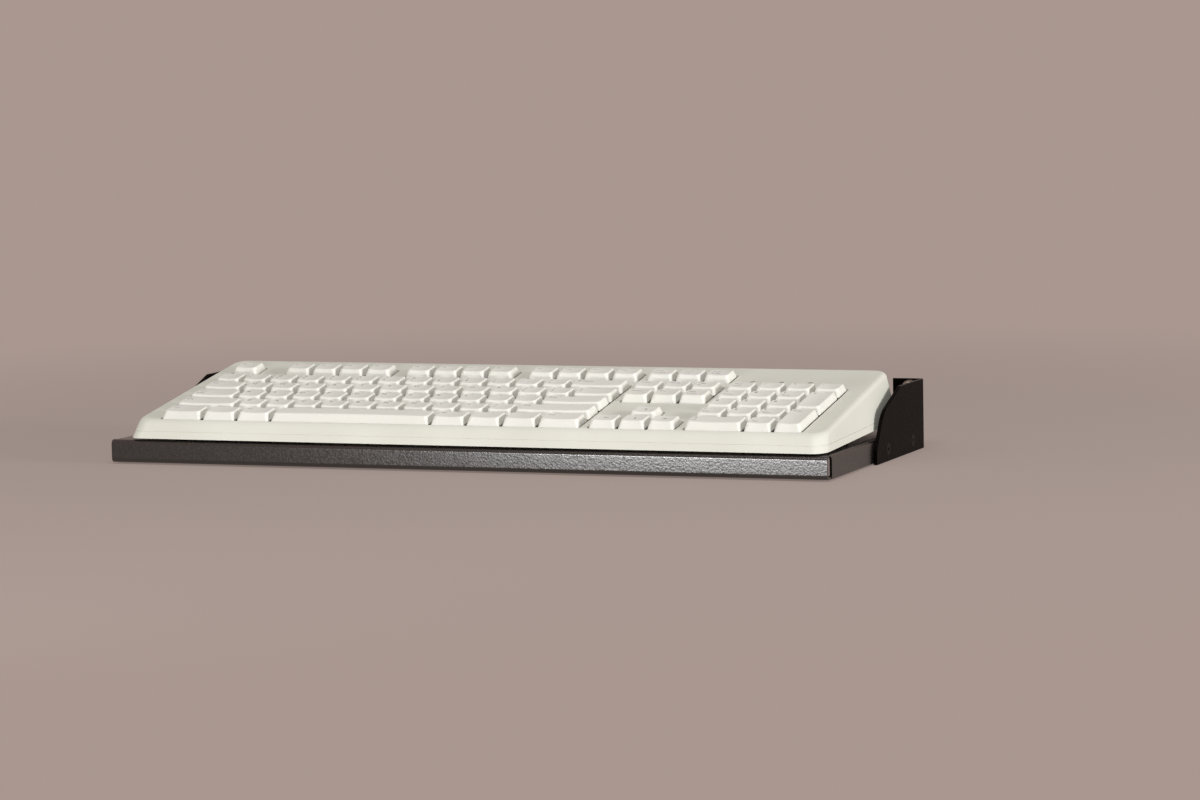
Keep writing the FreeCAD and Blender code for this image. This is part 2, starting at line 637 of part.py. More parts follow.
def rack_screw():
    """A pan head screw with a cross recess, its axis on the origin."""
    seat = "-bracket_sheet - rack_washer_sheet"
    thread = cylinder("rack_thread", "rack_screw / 2", "rack_screw_reach",
                      ("0", "rack_screw_reach", "0"), X_AXIS, "90")
    neck = cylinder("rack_neck", "rack_neck / 2", "bracket_sheet + rack_washer_sheet", ("0", "0", "0"), X_AXIS, "90")
    head = cylinder("rack_head_blank", "rack_head / 2", "rack_head_height", ("0", seat, "0"), X_AXIS, "90")
    doc.recompute()
    front = head.Shape.BoundBox.YMin

    def rim(edge):
        return edge.BoundBox.YMax - front < 1e-3

    crown = doc.addObject("Part::Fillet", "rack_head_crown")
    crown.Base = head
    radius = VALUE["rack_crown"]
    crown.Edges = [(int(name[4:]), radius, radius) for name in edge_names(head.Shape, rim)]
    arms = []
    long, short = "rack_recess", "rack_recess_width"
    for name, wide, tall in (("across", long, short), ("upright", short, long)):
        spot = ("-%s / 2" % wide, seat + " - rack_head_height - rack_recess_depth", "-%s / 2" % tall)
        arms.append(box("rack_recess_" + name, (wide, "2 * rack_recess_depth", tall), spot))
    return cut("rack_screw_one", fuse("rack_screw_blank", [thread, neck, crown]), arms)


def rack_washer():
    face = ("0", "-bracket_sheet", "0")
    disc = cylinder("rack_washer_disc", "rack_washer / 2", "rack_washer_sheet", face, X_AXIS, "90")
    hole = cylinder("rack_washer_hole", "rack_screw / 2 + screw_fit", "rack_washer_sheet", face,
                    X_AXIS, "90")
    return cut("rack_washer_one", disc, [hole])


def make_rack_screws():
    """Four screws with washers, through the oblong holes of the ears."""
    for node, source in (("rack_screws", rack_screw()), ("rack_washers", rack_washer())):
        copies = []
        for across in ("-rack_columns / 2", "rack_columns / 2"):
            for height in ("-rack_pair / 2", "rack_pair / 2"):
                copies.append(copy_of("%s_%d" % (node, len(copies)), source, x=across, z=height))
        keep(node, group(node + "_set", copies))


def in_case_frame(thing):
    return place(thing, "case_offset", CASE_Y, CASE_Z, X_AXIS, "case_tilt")


def in_deck_frame(thing):
    """Deck frame: x from the left edge of the key field, y up the slope, z off the deck."""
    level = deck_height("first_row")
    across = "case_offset - field_keys * %s / 2" % PITCH
    back = "%s + cos(case_tilt) * first_row - sin(case_tilt) * %s" % (CASE_Y, level)
    up = "%s + sin(case_tilt) * first_row + cos(case_tilt) * %s" % (CASE_Z, level)
    return place(thing, across, back, up, X_AXIS, "case_tilt + deck_slope")


def deck_to_case(thing):
    """The deck frame seen from the case frame."""
    across = "field_keys * %s / -2" % PITCH
    return place(thing, across, "first_row", deck_height("first_row"), X_AXIS, "deck_slope")


def row_distance(row):
    """Middle of a key row behind the middle of the front row, along the deck."""
    step = ROWS.index(row)
    if row == "function":
        return "(%d * %s + function_gap)" % (step - 1, PITCH)
    return "(%d * %s)" % (step, PITCH)


def case_section(name, low, top_drop):
    """Room between a level and the sloping top of the case, or of its hollow."""
    body = doc.addObject("PartDesign::Body", name + "_section_body")
    front = "(-case_wall)"
    rear = "(%s + case_wall)" % CASE_DEPTH
    section = [
        (front, low),
        (front, "%s - %s" % (deck_height(front), top_drop)),
        (rear, "%s - %s" % (deck_height(rear), top_drop)),
        (rear, low),
    ]
    sketch = outline_sketch(body, name + "_section", "YZ_Plane", section)
    pad(body, name + "_block", sketch, "2 * " + CASE_HALF, both_ways=True)
    return body


def case_sides(name, wall, front, radius):
    """Leaning front, rear and sides of the case or of its hollow, with round corners."""
    wedge = doc.addObject("Part::Wedge", name + "_sides")
    wedge.Xmin, wedge.Ymin, wedge.Zmin = -1, 0, 0
    wedge.Xmax, wedge.Ymax, wedge.Zmax = 1, 1, 1
    half = "(%s - %s)" % (CASE_HALF, wall)
    rear = "(%s - %s)" % (wall, CASE_DEPTH)
    front_lean = "lip_setback * lean_height / " + LIP_HEIGHT
    back_lean = "rear_lean * lean_height / " + deck_height("(%s - rear_lean)" % CASE_DEPTH)
    bind(wedge, Xmin="-" + half, Xmax=half, X2min="side_lean - " + half, X2max=half + " - side_lean")
    bind(wedge, Ymax="lean_height", Zmin=rear, Zmax="-" + front)
    bind(wedge, Z2min="%s + %s" % (rear, back_lean), Z2max="-%s - %s" % (front, front_lean))
    place(wedge, axis=X_AXIS, angle="90")
    doc.recompute()

    def upright(edge):
        return edge.BoundBox.ZLength > VALUE["lean_height"] - 1e-3

    rounded = doc.addObject("Part::Fillet", name + "_corners")
    rounded.Base = wedge
    rounded.Edges = [(int(edge[4:]), radius, radius) for edge in edge_names(wedge.Shape, upright)]
    return rounded


def well_box(name, well, start, height, margin):
    """A block over a key field, in the deck frame, from a level up."""
    row, left, width, deep = well
    wide = "%s * %s - key_gap + 2 * %s" % (width, PITCH, margin)
    long = "%d * %s - key_gap + 2 * %s" % (deep, PITCH, margin)
    across = "%s * %s + key_gap / 2 - %s" % (left, PITCH, margin)
    along = "%s - %s / 2 + key_gap / 2 - %s" % (row_distance(row), PITCH, margin)
    return box(name, (wide, long, height), (across, along, start))


def lens_spot(number, depth):
    """Middle of a light pipe, in the deck frame, at a depth below the case's top."""
    across = "(lens_column + %d) * %s" % (number, PITCH)
    along = "%s + %s / 2 + lens_place" % (row_distance("number"), PITCH)
    return (across, along, "-" + depth)


def case_openings():
    """What is cut from the case's top: key wells and the holes of the light pipes."""
    tools = []
    for name, well in WELLS.items():
        tools.append(well_box("well_" + name, well, "-2 * case_wall", "4 * case_wall", "well_gap"))
    for number in range(LENSES):
        spot = lens_spot(number, "2 * case_wall")
        tools.append(cylinder("lens_hole_%d" % number, "lens_radius", "4 * case_wall", spot))
    return deck_to_case(group("case_openings", tools))


def make_case():
    """Upper half of the keyboard's case; returns the shell of the lower half."""
    roof = "(case_wall / cos(deck_slope))"
    inner_corner = VALUE["case_corner"] - VALUE["case_wall"]
    outer = common("case_outside", case_section("case_outside", "0", "0"),
                   case_sides("case_outside", "0", "0", VALUE["case_corner"]))
    hollow = common("case_hollow", case_section("case_hollow", "case_floor", roof),
                    case_sides("case_hollow", "case_wall", "front_wall", inner_corner))
    shell = cut("case_shell", outer, [hollow])
    lower_room = box("lower_room", ("4 * " + CASE_HALF, "2 * " + CASE_DEPTH, "split_height + lean_height"),
                     ("-2 * " + CASE_HALF, "-%s / 2" % CASE_DEPTH, "-lean_height"))
    upper_shell = cut("upper_shell", shell, [lower_room])
    posts = []
    pilots = []
    for number, across in enumerate(POSTS):
        spot = (across, POST_Y, POST_FOOT)
        height = "%s - case_wall / 2 - %s" % (deck_height(POST_Y), POST_FOOT)
        posts.append(cylinder("post_%d" % number, "post_radius", height, spot))
        pilots.append(cylinder("pilot_%d" % number, "case_screw_radius", "case_screw_length", spot))
    outlet = cylinder("lead_outlet", "outlet_radius", "2 * rear_lean + 2 * case_wall",
                      (OUTLET_X, CASE_DEPTH + " + case_wall", "outlet_height"), X_AXIS, "90")
    blank = fuse("upper_case_blank", [upper_shell] + posts)
    keep("top_case", in_case_frame(cut("upper_case", blank, pilots + [case_openings(), outlet])))
    return common("lower_shell", shell, lower_room)


def make_ribs():
    """Sloping ribs of the lower case that carry the contact film."""
    start = "(first_row + %s / 2)" % PITCH
    end = "(first_row + 4.5 * %s)" % PITCH
    drop = "%s / cos(deck_slope)" % FILM_LOW
    body = doc.addObject("PartDesign::Body", "rib_body")
    section = [
        (start, "case_floor / 2"),
        (start, "%s - %s" % (deck_height(start), drop)),
        (end, "%s - %s" % (deck_height(end), drop)),
        (end, "case_floor / 2"),
    ]
    sketch = outline_sketch(body, "rib_section", "YZ_Plane", section)
    pad(body, "rib", sketch, "rib_sheet", both_ways=True)
    step = "(field_keys * %s / 2 - rib_inset) / %d" % (PITCH, RIBS_A_SIDE)
    ribs = []
    for number in range(-RIBS_A_SIDE, RIBS_A_SIDE + 1):
        ribs.append(copy_of("rib_%d" % len(ribs), body, x="%d * %s" % (number, step)))
    return ribs


def foot_middle(sign):
    return "%s * (%s - foot_inset - foot_width / 2)" % (sign, CASE_HALF)


def pad_left(sign):
    return "%s * (%s - pad_inset - pad_width / 2) - pad_width / 2" % (sign, CASE_HALF)


def foot_recess(side, sign):
    """The walls around a folded foot, and the room and pin bores cut from them."""
    room = "(foot_width / 2 + foot_room)"
    walled = "(%s + foot_pin_length)" % room
    front = "(%s - %s - foot_room)" % (FOOT_Y, FOOT_LENGTH)
    length = "(%s + foot_thickness / 2 + 2 * foot_room)" % FOOT_LENGTH
    height = "(foot_pivot_height + foot_thickness / 2 + foot_room + case_wall)"
    centre = foot_middle(sign)
    walls = box("recess_walls_" + side, ("2 * " + walled, length + " + 2 * case_wall", height),
                ("%s - %s" % (centre, walled), front + " - case_wall", "0"))
    space = box("recess_" + side, ("2 * " + room, length, height),
                ("%s - %s" % (centre, room), front, "-case_wall"))
    bores = cylinder("recess_bores_" + side, "foot_pin_radius + pivot_fit", "2 * " + walled,
                     ("%s - %s" % (centre, walled), FOOT_Y, "foot_pivot_height"), Y_AXIS, "90")
    return walls, [space, bores]


def make_lower_case(shell):
    """Lower half of the case: floor, ribs, bosses, foot recesses, screw ways and pad seats."""
    pieces = [shell] + make_ribs()
    taken = []
    for number, across in enumerate(POSTS):
        spot = (across, POST_Y, "0")
        taken.append(cylinder("screw_way_%d" % number, "case_screw_radius + screw_fit",
                              "2 * case_floor", spot))
        taken.append(cylinder("head_way_%d" % number, "case_head_radius + screw_fit",
                              "case_head_height", spot))
    for side, sign in SIDES:
        walls, spaces = foot_recess(side, sign)
        pieces.append(walls)
        taken += spaces
        taken.append(box("pad_seat_" + side, ("pad_width", "pad_depth", "pad_sink"),
                         (pad_left(sign), "pad_place", "0")))
        across = "%s + %s * (board_width / 2 - boss_radius)" % (BOARD_X, sign)
        pieces.append(cylinder("board_boss_" + side, "boss_radius", "board_height - case_floor / 2",
                               (across, BOARD_Y, "case_floor / 2")))
    keep("bottom_case", in_case_frame(cut("lower_case", fuse("lower_case_blank", pieces), taken)))


def make_case_screws():
    """Tapping screws from below into the posts of the upper case."""
    screws = []
    for number, across in enumerate(POSTS):
        head = cylinder("case_screw_head_%d" % number, "case_head_radius", "case_head_height",
                        (across, POST_Y, "0"))
        shank = cylinder("case_screw_shank_%d" % number, "case_screw_radius",
                         POST_FOOT + " + case_screw_length - screw_fit", (across, POST_Y, "0"))
        slot = box("case_screw_slot_%d" % number,
                   ("2 * case_head_radius", "case_slot_width", "2 * case_slot_depth"),
                   (across + " - case_head_radius", POST_Y + " - case_slot_width / 2", "-case_slot_depth"))
        blank = fuse("case_screw_blank_%d" % number, [head, shank])
        screws.append(cut("case_screw_%d" % number, blank, [slot]))
    keep("case_screws", in_case_frame(group("case_screw_set", screws)))


def make_pads():
    pads = []
    for side, sign in SIDES:
        pads.append(box("pad_" + side, ("pad_width", "pad_depth", "pad_sink + " + PAD_DROP),
                        (pad_left(sign), "pad_place", "-" + PAD_DROP)))
    keep("front_pads", in_case_frame(group("pad_set", pads)))


def make_feet():
    """Flip feet, open: each hangs from its pins down to the tray."""
    for side, sign in SIDES:
        edge = foot_middle(sign) + " - foot_width / 2"
        reach = "(foot_room + foot_pin_length - pivot_fit)"
        leaf = box("foot_leaf_" + side, ("foot_width", "foot_thickness", FOOT_LENGTH),
                   (edge, FOOT_Y + " - foot_thickness / 2", "-" + FOOT_DROP))
        knuckle = cylinder("foot_knuckle_" + side, "foot_thickness / 2", "foot_width",
                           (edge, FOOT_Y, "foot_pivot_height"), Y_AXIS, "90")
        pins = cylinder("foot_pins_" + side, "foot_pin_radius", "foot_width + 2 * " + reach,
                        ("%s - %s" % (edge, reach), FOOT_Y, "foot_pivot_height"), Y_AXIS, "90")
        keep(side + "_foot", in_case_frame(fuse("foot_" + side, [leaf, knuckle, pins])))


def make_board():
    """Controller board with its chip and the connector for the contact film."""
    board = box("board_blank", ("board_width", "board_depth", "board_sheet"),
                (BOARD_X + " - board_width / 2", BOARD_Y + " - board_depth / 2", "board_height"))
    face = "board_height + board_sheet"
    chip = box("board_chip", ("chip_size", "chip_size", "chip_height"),
               (BOARD_X + " - chip_size / 2", BOARD_Y + " - chip_size / 2", face))
    plug = box("board_plug", ("plug_width", "plug_depth", "plug_height"),
               (BOARD_X + " + chip_size / 2 + plug_gap", BOARD_Y + " - board_depth / 2 + plug_depth", face))
    keep("controller_board", in_case_frame(fuse("board", [board, chip, plug])))


def make_grommet():
    """Rubber bush in the rear wall where the lead leaves."""
    rim = cylinder("grommet_rim", "outlet_radius + grommet_rim", "grommet_rim",
                   (OUTLET_X, CASE_DEPTH + " + grommet_rim", "outlet_height"), X_AXIS, "90")
    neck = cylinder("grommet_neck", "outlet_radius", "rear_lean + 2 * case_wall",
                    (OUTLET_X, CASE_DEPTH, "outlet_height"), X_AXIS, "90")
    bore = cylinder("grommet_bore", "outlet_radius - grommet_wall", "2 * (rear_lean + 2 * case_wall)",
                    (OUTLET_X, CASE_DEPTH + " + case_wall", "outlet_height"), X_AXIS, "90")
    keep("cord_grommet", in_case_frame(cut("grommet", fuse("grommet_blank", [rim, neck]), [bore])))


def key_spot(row, left, width, deep):
    """Middle of a key in the deck frame."""
    across = "%s * %s" % (left + width / 2, PITCH)
    along = "%s + %s * %s" % (row_distance(row), (deep - 1) / 2, PITCH)
    return across, along


def plunger_spots():
    return [key_spot(*key) for keys in KEYS.values() for key in keys]


def field_box(name, side, front, rear, low, high):
    """A block over the whole key field, in the deck frame, between two depths."""
    wide = "field_keys * %s + 2 * %s" % (PITCH, side)
    long = "%s + %s + %s + %s" % (row_distance("function"), PITCH, front, rear)
    spot = ("-" + side, "-%s / 2 - %s" % (PITCH, front), "-" + low)
    return box(name, (wide, long, "%s - %s" % (low, high)), spot)


def make_deck():
    """Moulded deck under the caps, with a guide barrel for each plunger."""
    plate = field_box("deck_plate", "deck_margin", "deck_front_margin", "deck_margin",
                      DECK_LOW, "case_wall")
    skirt = "(%s + deck_skirt)" % SKIRT_ROOM
    skirt_out = field_box("deck_skirt_outside", skirt, skirt, skirt, FILM_LOW, DECK_TOP)
    skirt_in = field_box("deck_skirt_inside", SKIRT_ROOM, SKIRT_ROOM, SKIRT_ROOM, FILM_LOW, DECK_LOW)
    hollows = [skirt_in]
    for name, well in WELLS.items():
        hollows.append(well_box("deck_well_" + name, well, "-" + DECK_TOP, "2 * " + DECK_TOP, "well_gap"))
    hollow_deck = cut("deck_hollowed", fuse("deck_blank", [plate, skirt_out]), hollows)
    height = "(barrel_rise + deck_sheet)"
    barrels = []
    ways = []
    for number, (across, along) in enumerate(plunger_spots()):
        barrels.append(cylinder("barrel_%d" % number, "barrel_radius", height,
                                (across, along, "-" + DECK_LOW)))
        ways.append(cylinder("barrel_way_%d" % number, "plunger_radius + plunger_fit", "2 * " + height,
                             (across, along, "-%s - deck_sheet" % DECK_LOW)))
    for number in range(LENSES):
        ways.append(cylinder("lens_way_%d" % number, "lens_radius + body_gap", "2 * " + DECK_LOW,
                             lens_spot(number, DECK_LOW)))
    keep("guide_deck", in_deck_frame(cut("deck", fuse("deck_with_barrels", [hollow_deck] + barrels), ways)))


def make_mat():
    """Rubber mat with the skirt of a dome under each plunger, and the contact film below it."""
    sheet = field_box("mat_sheet_blank", MAT_MARGIN, MAT_MARGIN, MAT_MARGIN, FILM_TOP, MAT_TOP)
    domes = []
    rooms = []
    for number, (across, along) in enumerate(plunger_spots()):
        domes.append(cylinder("dome_%d" % number, "dome_radius", "dome_height + mat_sheet",
                              (across, along, "-" + FILM_TOP)))
        rooms.append(cylinder("dome_room_%d" % number, "dome_radius - dome_wall", "2 * dome_height",
                              (across, along, "-" + MAT_TOP)))
    keep("dome_mat", in_deck_frame(cut("mat", fuse("mat_blank", [sheet] + domes), rooms)))
    film = field_box("film_sheet", MAT_MARGIN, MAT_MARGIN, MAT_MARGIN, FILM_LOW, FILM_TOP)
    keep("contact_film", in_deck_frame(group("film_set", [film])))


def make_lenses():
    """Light pipes of the indicator lamps, through the case and the deck."""
    pipes = []
    for number in range(LENSES):
        pipes.append(cylinder("lens_%d" % number, "lens_radius", DECK_LOW + " + lens_proud",
                              lens_spot(number, DECK_LOW)))
    keep("indicator_lenses", in_deck_frame(group("lens_set", pipes)))


def cap_block(name, base_x, base_y, wall, roof):
    """A block with leaning sides: a cap's outside, or its hollow."""
    wedge = doc.addObject("Part::Wedge", name)
    wedge.Xmin, wedge.Ymin, wedge.Zmin = -1, 0, -1
    wedge.Xmax, wedge.Ymax, wedge.Zmax = 1, 1, 1
    half_x = "(%s / 2 - %s)" % (base_x, wall)
    half_y = "(%s / 2 - %s)" % (base_y, wall)
    bind(wedge, Xmin="-" + half_x, Xmax=half_x)
    bind(wedge, X2min="cap_side_taper - " + half_x, X2max=half_x + " - cap_side_taper")
    bind(wedge, Zmin="-" + half_y, Zmax=half_y)
    bind(wedge, Z2min="cap_back_taper - " + half_y, Z2max=half_y + " - cap_front_taper")
    bind(wedge, Ymax="key_rise + key_skirt - " + roof)
    return place(wedge, z="-key_skirt", axis=X_AXIS, angle="90")


def cap_dish(name, base_x, base_y):
    """A shallow hollow across the top of a cap, from one side edge to the other."""
    chord = "(%s - 2 * cap_side_taper)" % base_x
    radius = "(%s ^ 2 / (8 * dish_depth) + dish_depth / 2)" % chord
    spot = ("0", base_y + " / 2", "key_rise - dish_depth + " + radius)
    return cylinder(name, radius, base_y, spot, X_AXIS, "90")


def make_cap(width, deep):
    """A hollow cap with its plunger, drawn about the middle of its foot."""
    name = ("cap_%s_by_%d" % (width, deep)).replace(".", "_")
    base_x = "(%s * %s - key_gap)" % (width, PITCH)
    base_y = "(%d * %s - key_gap)" % (deep, PITCH)
    outside = cap_block(name + "_outside", base_x, base_y, "0", "0")
    hollow = cap_block(name + "_hollow", base_x, base_y, "cap_wall", "cap_wall")
    taken = [hollow]
    if width <= WIDEST_DISH:
        taken.append(cap_dish(name + "_dish", base_x, base_y))
    length = "key_rise - cap_wall / 2 - dish_depth + %s + plunger_tail" % DECK_LOW
    tip = "-%s - plunger_tail" % DECK_LOW
    plunger = cylinder(name + "_plunger", "plunger_radius", length, ("0", "0", tip))
    return fuse(name, [cut(name + "_shell", outside, taken), plunger])


def make_keys():
    caps = {}
    for node, keys in KEYS.items():
        copies = []
        for row, left, width, deep in keys:
            if (width, deep) not in caps:
                caps[(width, deep)] = make_cap(width, deep)
            across, along = key_spot(row, left, width, deep)
            copies.append(copy_of("%s_%d" % (node, len(copies)), caps[(width, deep)], across, along))
        keep(node, in_deck_frame(group(node + "_set", copies)))


def check_all():
    for thing in doc.Objects:
        if "Invalid" in thing.State or "Error" in thing.State:
            raise ValueError("failed: %s %s" % (thing.Name, thing.State))
    for node, thing in parts.items():
        if thing.Shape.isNull() or not thing.Shape.isValid():
            raise ValueError("bad shape: " + node)
        print("%-28s %3d solids %10.1f mm3" % (node, len(thing.Shape.Solids), thing.Shape.Volume))


def main():
    make_sheet()
    make_tray()
    make_rear_bar()
    make_brackets()
    make_arm_screws()
    make_rack_screws()
    make_lower_case(make_case())
    make_case_screws()
    make_pads()
    make_feet()
    make_board()
    make_grommet()
    make_deck()
    make_mat()
    make_lenses()
    make_keys()
    doc.recompute()
    check_all()
    os.makedirs("parts", exist_ok=True)
    for node, thing in parts.items():
        thing.Shape.exportStep("parts/%s.step" % node)


main()
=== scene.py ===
import math

import bmesh
import bpy
import numpy as np
from bpy.props import FloatProperty, PointerProperty, StringProperty
from bpy.types import Operator, Panel, PropertyGroup
from mathutils import Matrix, Vector


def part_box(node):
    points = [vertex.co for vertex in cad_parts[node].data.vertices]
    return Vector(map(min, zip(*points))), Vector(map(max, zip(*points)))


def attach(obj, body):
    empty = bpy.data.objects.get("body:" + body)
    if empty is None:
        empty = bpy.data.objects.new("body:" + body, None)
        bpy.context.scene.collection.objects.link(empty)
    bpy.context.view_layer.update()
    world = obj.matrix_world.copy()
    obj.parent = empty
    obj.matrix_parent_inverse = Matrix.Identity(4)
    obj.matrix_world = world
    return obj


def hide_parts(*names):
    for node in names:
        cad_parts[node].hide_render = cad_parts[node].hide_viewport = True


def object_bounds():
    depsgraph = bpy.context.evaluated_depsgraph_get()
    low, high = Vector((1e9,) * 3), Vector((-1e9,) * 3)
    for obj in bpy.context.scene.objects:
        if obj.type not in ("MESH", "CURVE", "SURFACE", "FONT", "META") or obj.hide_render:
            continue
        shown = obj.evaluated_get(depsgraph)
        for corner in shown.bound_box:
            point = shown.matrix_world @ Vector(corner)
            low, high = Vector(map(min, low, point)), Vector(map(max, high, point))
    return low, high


bl_info = {
    "name": "Rack keyboard shelf",
    "version": (1, 0, 0),
    "blender": (4, 5, 0),
    "location": "3D View > Sidebar > Shelf",
    "description": "Dresses the 19 inch shelf and the keyboard that lies on it",
    "category": "Object",
}

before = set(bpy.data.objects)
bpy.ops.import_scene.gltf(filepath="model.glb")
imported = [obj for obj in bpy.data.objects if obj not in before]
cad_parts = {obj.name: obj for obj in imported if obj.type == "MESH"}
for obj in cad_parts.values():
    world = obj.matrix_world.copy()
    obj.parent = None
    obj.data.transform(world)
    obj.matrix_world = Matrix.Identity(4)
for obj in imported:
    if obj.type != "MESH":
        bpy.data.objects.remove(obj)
CAD_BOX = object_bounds()

MM = 0.001

# The case, in millimetres: half width, depth, height and setback of its front lip, leans of its
# walls per height, thickness of its walls, and how much steeper its roof is than its foot.
CASE_HALF = 232.0
CASE_DEPTH = 155.0
LIP_HEIGHT = 10.698
LIP_SETBACK = 9.0
SIDE_LEAN = 7.0 / 40.0
REAR_LEAN = 4.0 / 31.39
CASE_WALL = 2.4
FRONT_WALL = 3.2
CASE_CORNER = 9.5
SPLIT_HEIGHT = 4.0
DECK_CLIMB = 8.3
DECK_SLOPE = math.tan(math.radians(DECK_CLIMB))

# Its details: steps of the rounded crease, rounding of the foot's edge, radii of the lamps' and
# the grommet's holes, reach of a hole's cutter, how far the hollow's cutter starts below the
# foot, its rounding, and the softened edges of the lower case and of a flip foot.
CREASE_STEPS = 9
SPLIT_EDGE = 0.35
LAMP_HOLE = 1.5
GROMMET_HOLE = 4.5
CUT_REACH = 9.0
HOLLOW_DROP = 2.0
HOLLOW_ROUND = 1.0
LOWER_CASE_EDGE = 0.3
FLIP_FOOT_EDGE = 0.4

# Places of the two slanted frames that the keyboard is drawn in, in millimetres, and their
# tilts in degrees.
CASE_PLACE = (4.5, -191.5, -5.4)
CASE_TILT = 2.0
DECK_PLACE = (-209.8125, -170.947, 7.775)
DECK_TILT = CASE_TILT + DECK_CLIMB

# The key field: pitch, gap between caps, and the distance of the function keys' row.
PITCH = 19.05
KEY_GAP = 1.8
FUNCTION_ROW = 4 * PITCH + 27.0

# A cap: heights of its foot and top over the deck, how far each side leans in, its walls, the
# depth of its dish, the width from which a bar is crowned and how high, and the corner radii,
# shares of the height and inset of its levels.
CAP_FOOT = -0.8
CAP_TOP = 4.4
SIDE_TAPER = 1.3
FRONT_TAPER = 3.4
BACK_TAPER = 1.4
CAP_WALL = 1.2
DISH_DEPTH = 0.5
CROWNED_WIDTH = 3 * PITCH
CROWN_HEIGHT = 0.25
DISH_RINGS = (0.04, 0.3, 0.55, 0.8)
DISH_CORNER = 1.4
TOP_CORNER = 2.2
WAIST_CORNER = 1.8
WAIST_SHARE = 0.45
FOOT_CORNER = 1.3
FOOT_SHARE = 0.04
FOOT_EDGE = 0.2
FOOT_INSET = 0.15
FOOT_TIP_CORNER = 1.2
INNER_CORNER = 0.6
PLUNGER_RADIUS = 2.6
PLUNGER_TIP = -5.5
PLUNGER_EDGE = 0.3

# Openings for the key blocks: distance of the first row, left edge and width in pitches, rows.
WELLS = (
    (FUNCTION_ROW, 0.0, 1.0, 1), (FUNCTION_ROW, 2.0, 4.0, 1), (FUNCTION_ROW, 6.5, 4.0, 1),
    (FUNCTION_ROW, 11.0, 4.0, 1), (FUNCTION_ROW, 15.25, 3.0, 1), (0.0, 0.0, 15.0, 5),
    (3 * PITCH, 15.25, 3.0, 2), (PITCH, 16.25, 1.0, 1), (0.0, 15.25, 3.0, 1),
    (0.0, 18.5, 4.0, 5),
)
WELL_GAP = 1.1
WELL_LIP = 0.45
WELL_DEPTH = 6.0
WELL_RISE = 2.0

# Words on the caps, key by key. A space parts the upper word from the lower one.
LEGENDS = {
    "escape_key": ["Esc"],
    "function_keys_1_to_4": ["F1", "F2", "F3", "F4"],
    "function_keys_5_to_8": ["F5", "F6", "F7", "F8"],
    "function_keys_9_to_12": ["F9", "F10", "F11", "F12"],
    "print_scroll_pause_keys": ["Print Screen", "Scroll Lock", "Pause Break"],
    "number_row_keys": ["~ `", "! 1", "@ 2", "# 3", "$ 4", "% 5", "^ 6", "& 7", "* 8", "( 9", ") 0",
                        "_ -", "+ ="],
    "backspace_key": ["Backspace"],
    "tab_key": ["Tab"],
    "upper_letter_keys": list("QWERTYUIOP") + ["{ [", "} ]", "| \\"],
    "caps_lock_key": ["Caps Lock"],
    "home_letter_keys": list("ASDFGHJKL") + [": ;", "\" '"],
    "enter_key": ["Enter"],
    "left_shift_key": ["Shift"],
    "lower_letter_keys": list("ZXCVBNM") + ["< ,", "> .", "? /"],
    "right_shift_key": ["Shift"],
    "left_control_key": ["Ctrl"],
    "left_system_key": [""],
    "left_alt_key": ["Alt"],
    "space_bar": [""],
    "right_alt_key": ["Alt"],
    "right_system_key": [""],
    "menu_key": [""],
    "right_control_key": ["Ctrl"],
    "insert_home_page_up_keys": ["Insert", "Home", "Page Up"],
    "delete_end_page_down_keys": ["Delete", "End", "Page Down"],
    "arrow_up_key": ["up"],
    "arrow_left_key": ["left"],
    "arrow_down_key": ["down"],
    "arrow_right_key": ["right"],
    "numpad_top_keys": ["Num Lock", "/", "*", "-"],
    "numpad_7_8_9_keys": ["7 Home", "8", "9 PgUp"],
    "numpad_4_5_6_keys": ["4", "5", "6"],
    "numpad_1_2_3_keys": ["1 End", "2", "3 PgDn"],
    "numpad_plus_key": ["+"],
    "numpad_enter_key": ["Enter"],
    "numpad_zero_key": ["0 Ins"],
    "numpad_point_key": [". Del"],
}

# The print on a cap, in millimetres: half its thickness, its margins, an arrow that points
# right, and its place. The shares are of the height of a single letter.
INK_HALF = 0.02
LEFT_MARGIN = 2.0
FAR_MARGIN = 1.6
WORD_MARGINS = 2.6
SIGN_SHARE = 0.8
WORD_SHARE = 0.62
LETTER_RISE = 0.72
LINE_SPACING = 0.95
ARROW_SHAPE = ((-1.6, -0.25), (0.3, -0.25), (0.3, -0.9), (1.7, 0.0), (0.3, 0.9), (0.3, 0.25),
               (-1.6, 0.25))
ARROW_SPOT = (0, 1.0)
ARROW_TURNS = {"right": 0, "up": 90, "left": 180, "down": 270}

# The floor, in metres: half its width, where it starts in front, where it bends up behind, the
# bend's radius and the backdrop's top. Round the object it is lit, and it fades to its own even
# colour between two distances.
FLOOR_HALF = 6.0
FLOOR_FRONT = -5.0
FLOOR_REAR = 3.0
FLOOR_BEND = 1.2
BACKDROP_TOP = 5.0
FADE_START = 0.25
FADE_END = 1.0
ROOM_COLOUR = "#F2EDEA"

# Lamps, in metres: name, place, width and height, and the setting that holds the power.
LAMPS = (
    ("high_softbox", (0.5, -1.6, 2.4), (1.8, 1.2), "key_power"),
    ("low_softbox", (-0.1, -1.0, 0.01), (0.36, 0.06), "glance_power"),
    ("side_softbox", (2.9, -0.5, 0.5), (0.9, 0.6), "side_power"),
)
LAMP_AIM = (0.0, -0.1, 0.0)

# The camera: lens and sensor in millimetres, place in metres, and the directions of the
# picture's right side, its top and away from what is seen.
LENS = 123.76
SENSOR = 36.0
EYE_PLACE = (0.9966, -2.5046, 0.2695)
EYE_AXES = ((0.93219, 0.36146, -0.01941), (-0.01749, 0.09854, 0.99498), (0.36156, -0.92717, 0.09818))
FARTHEST_SEEN = 50.0

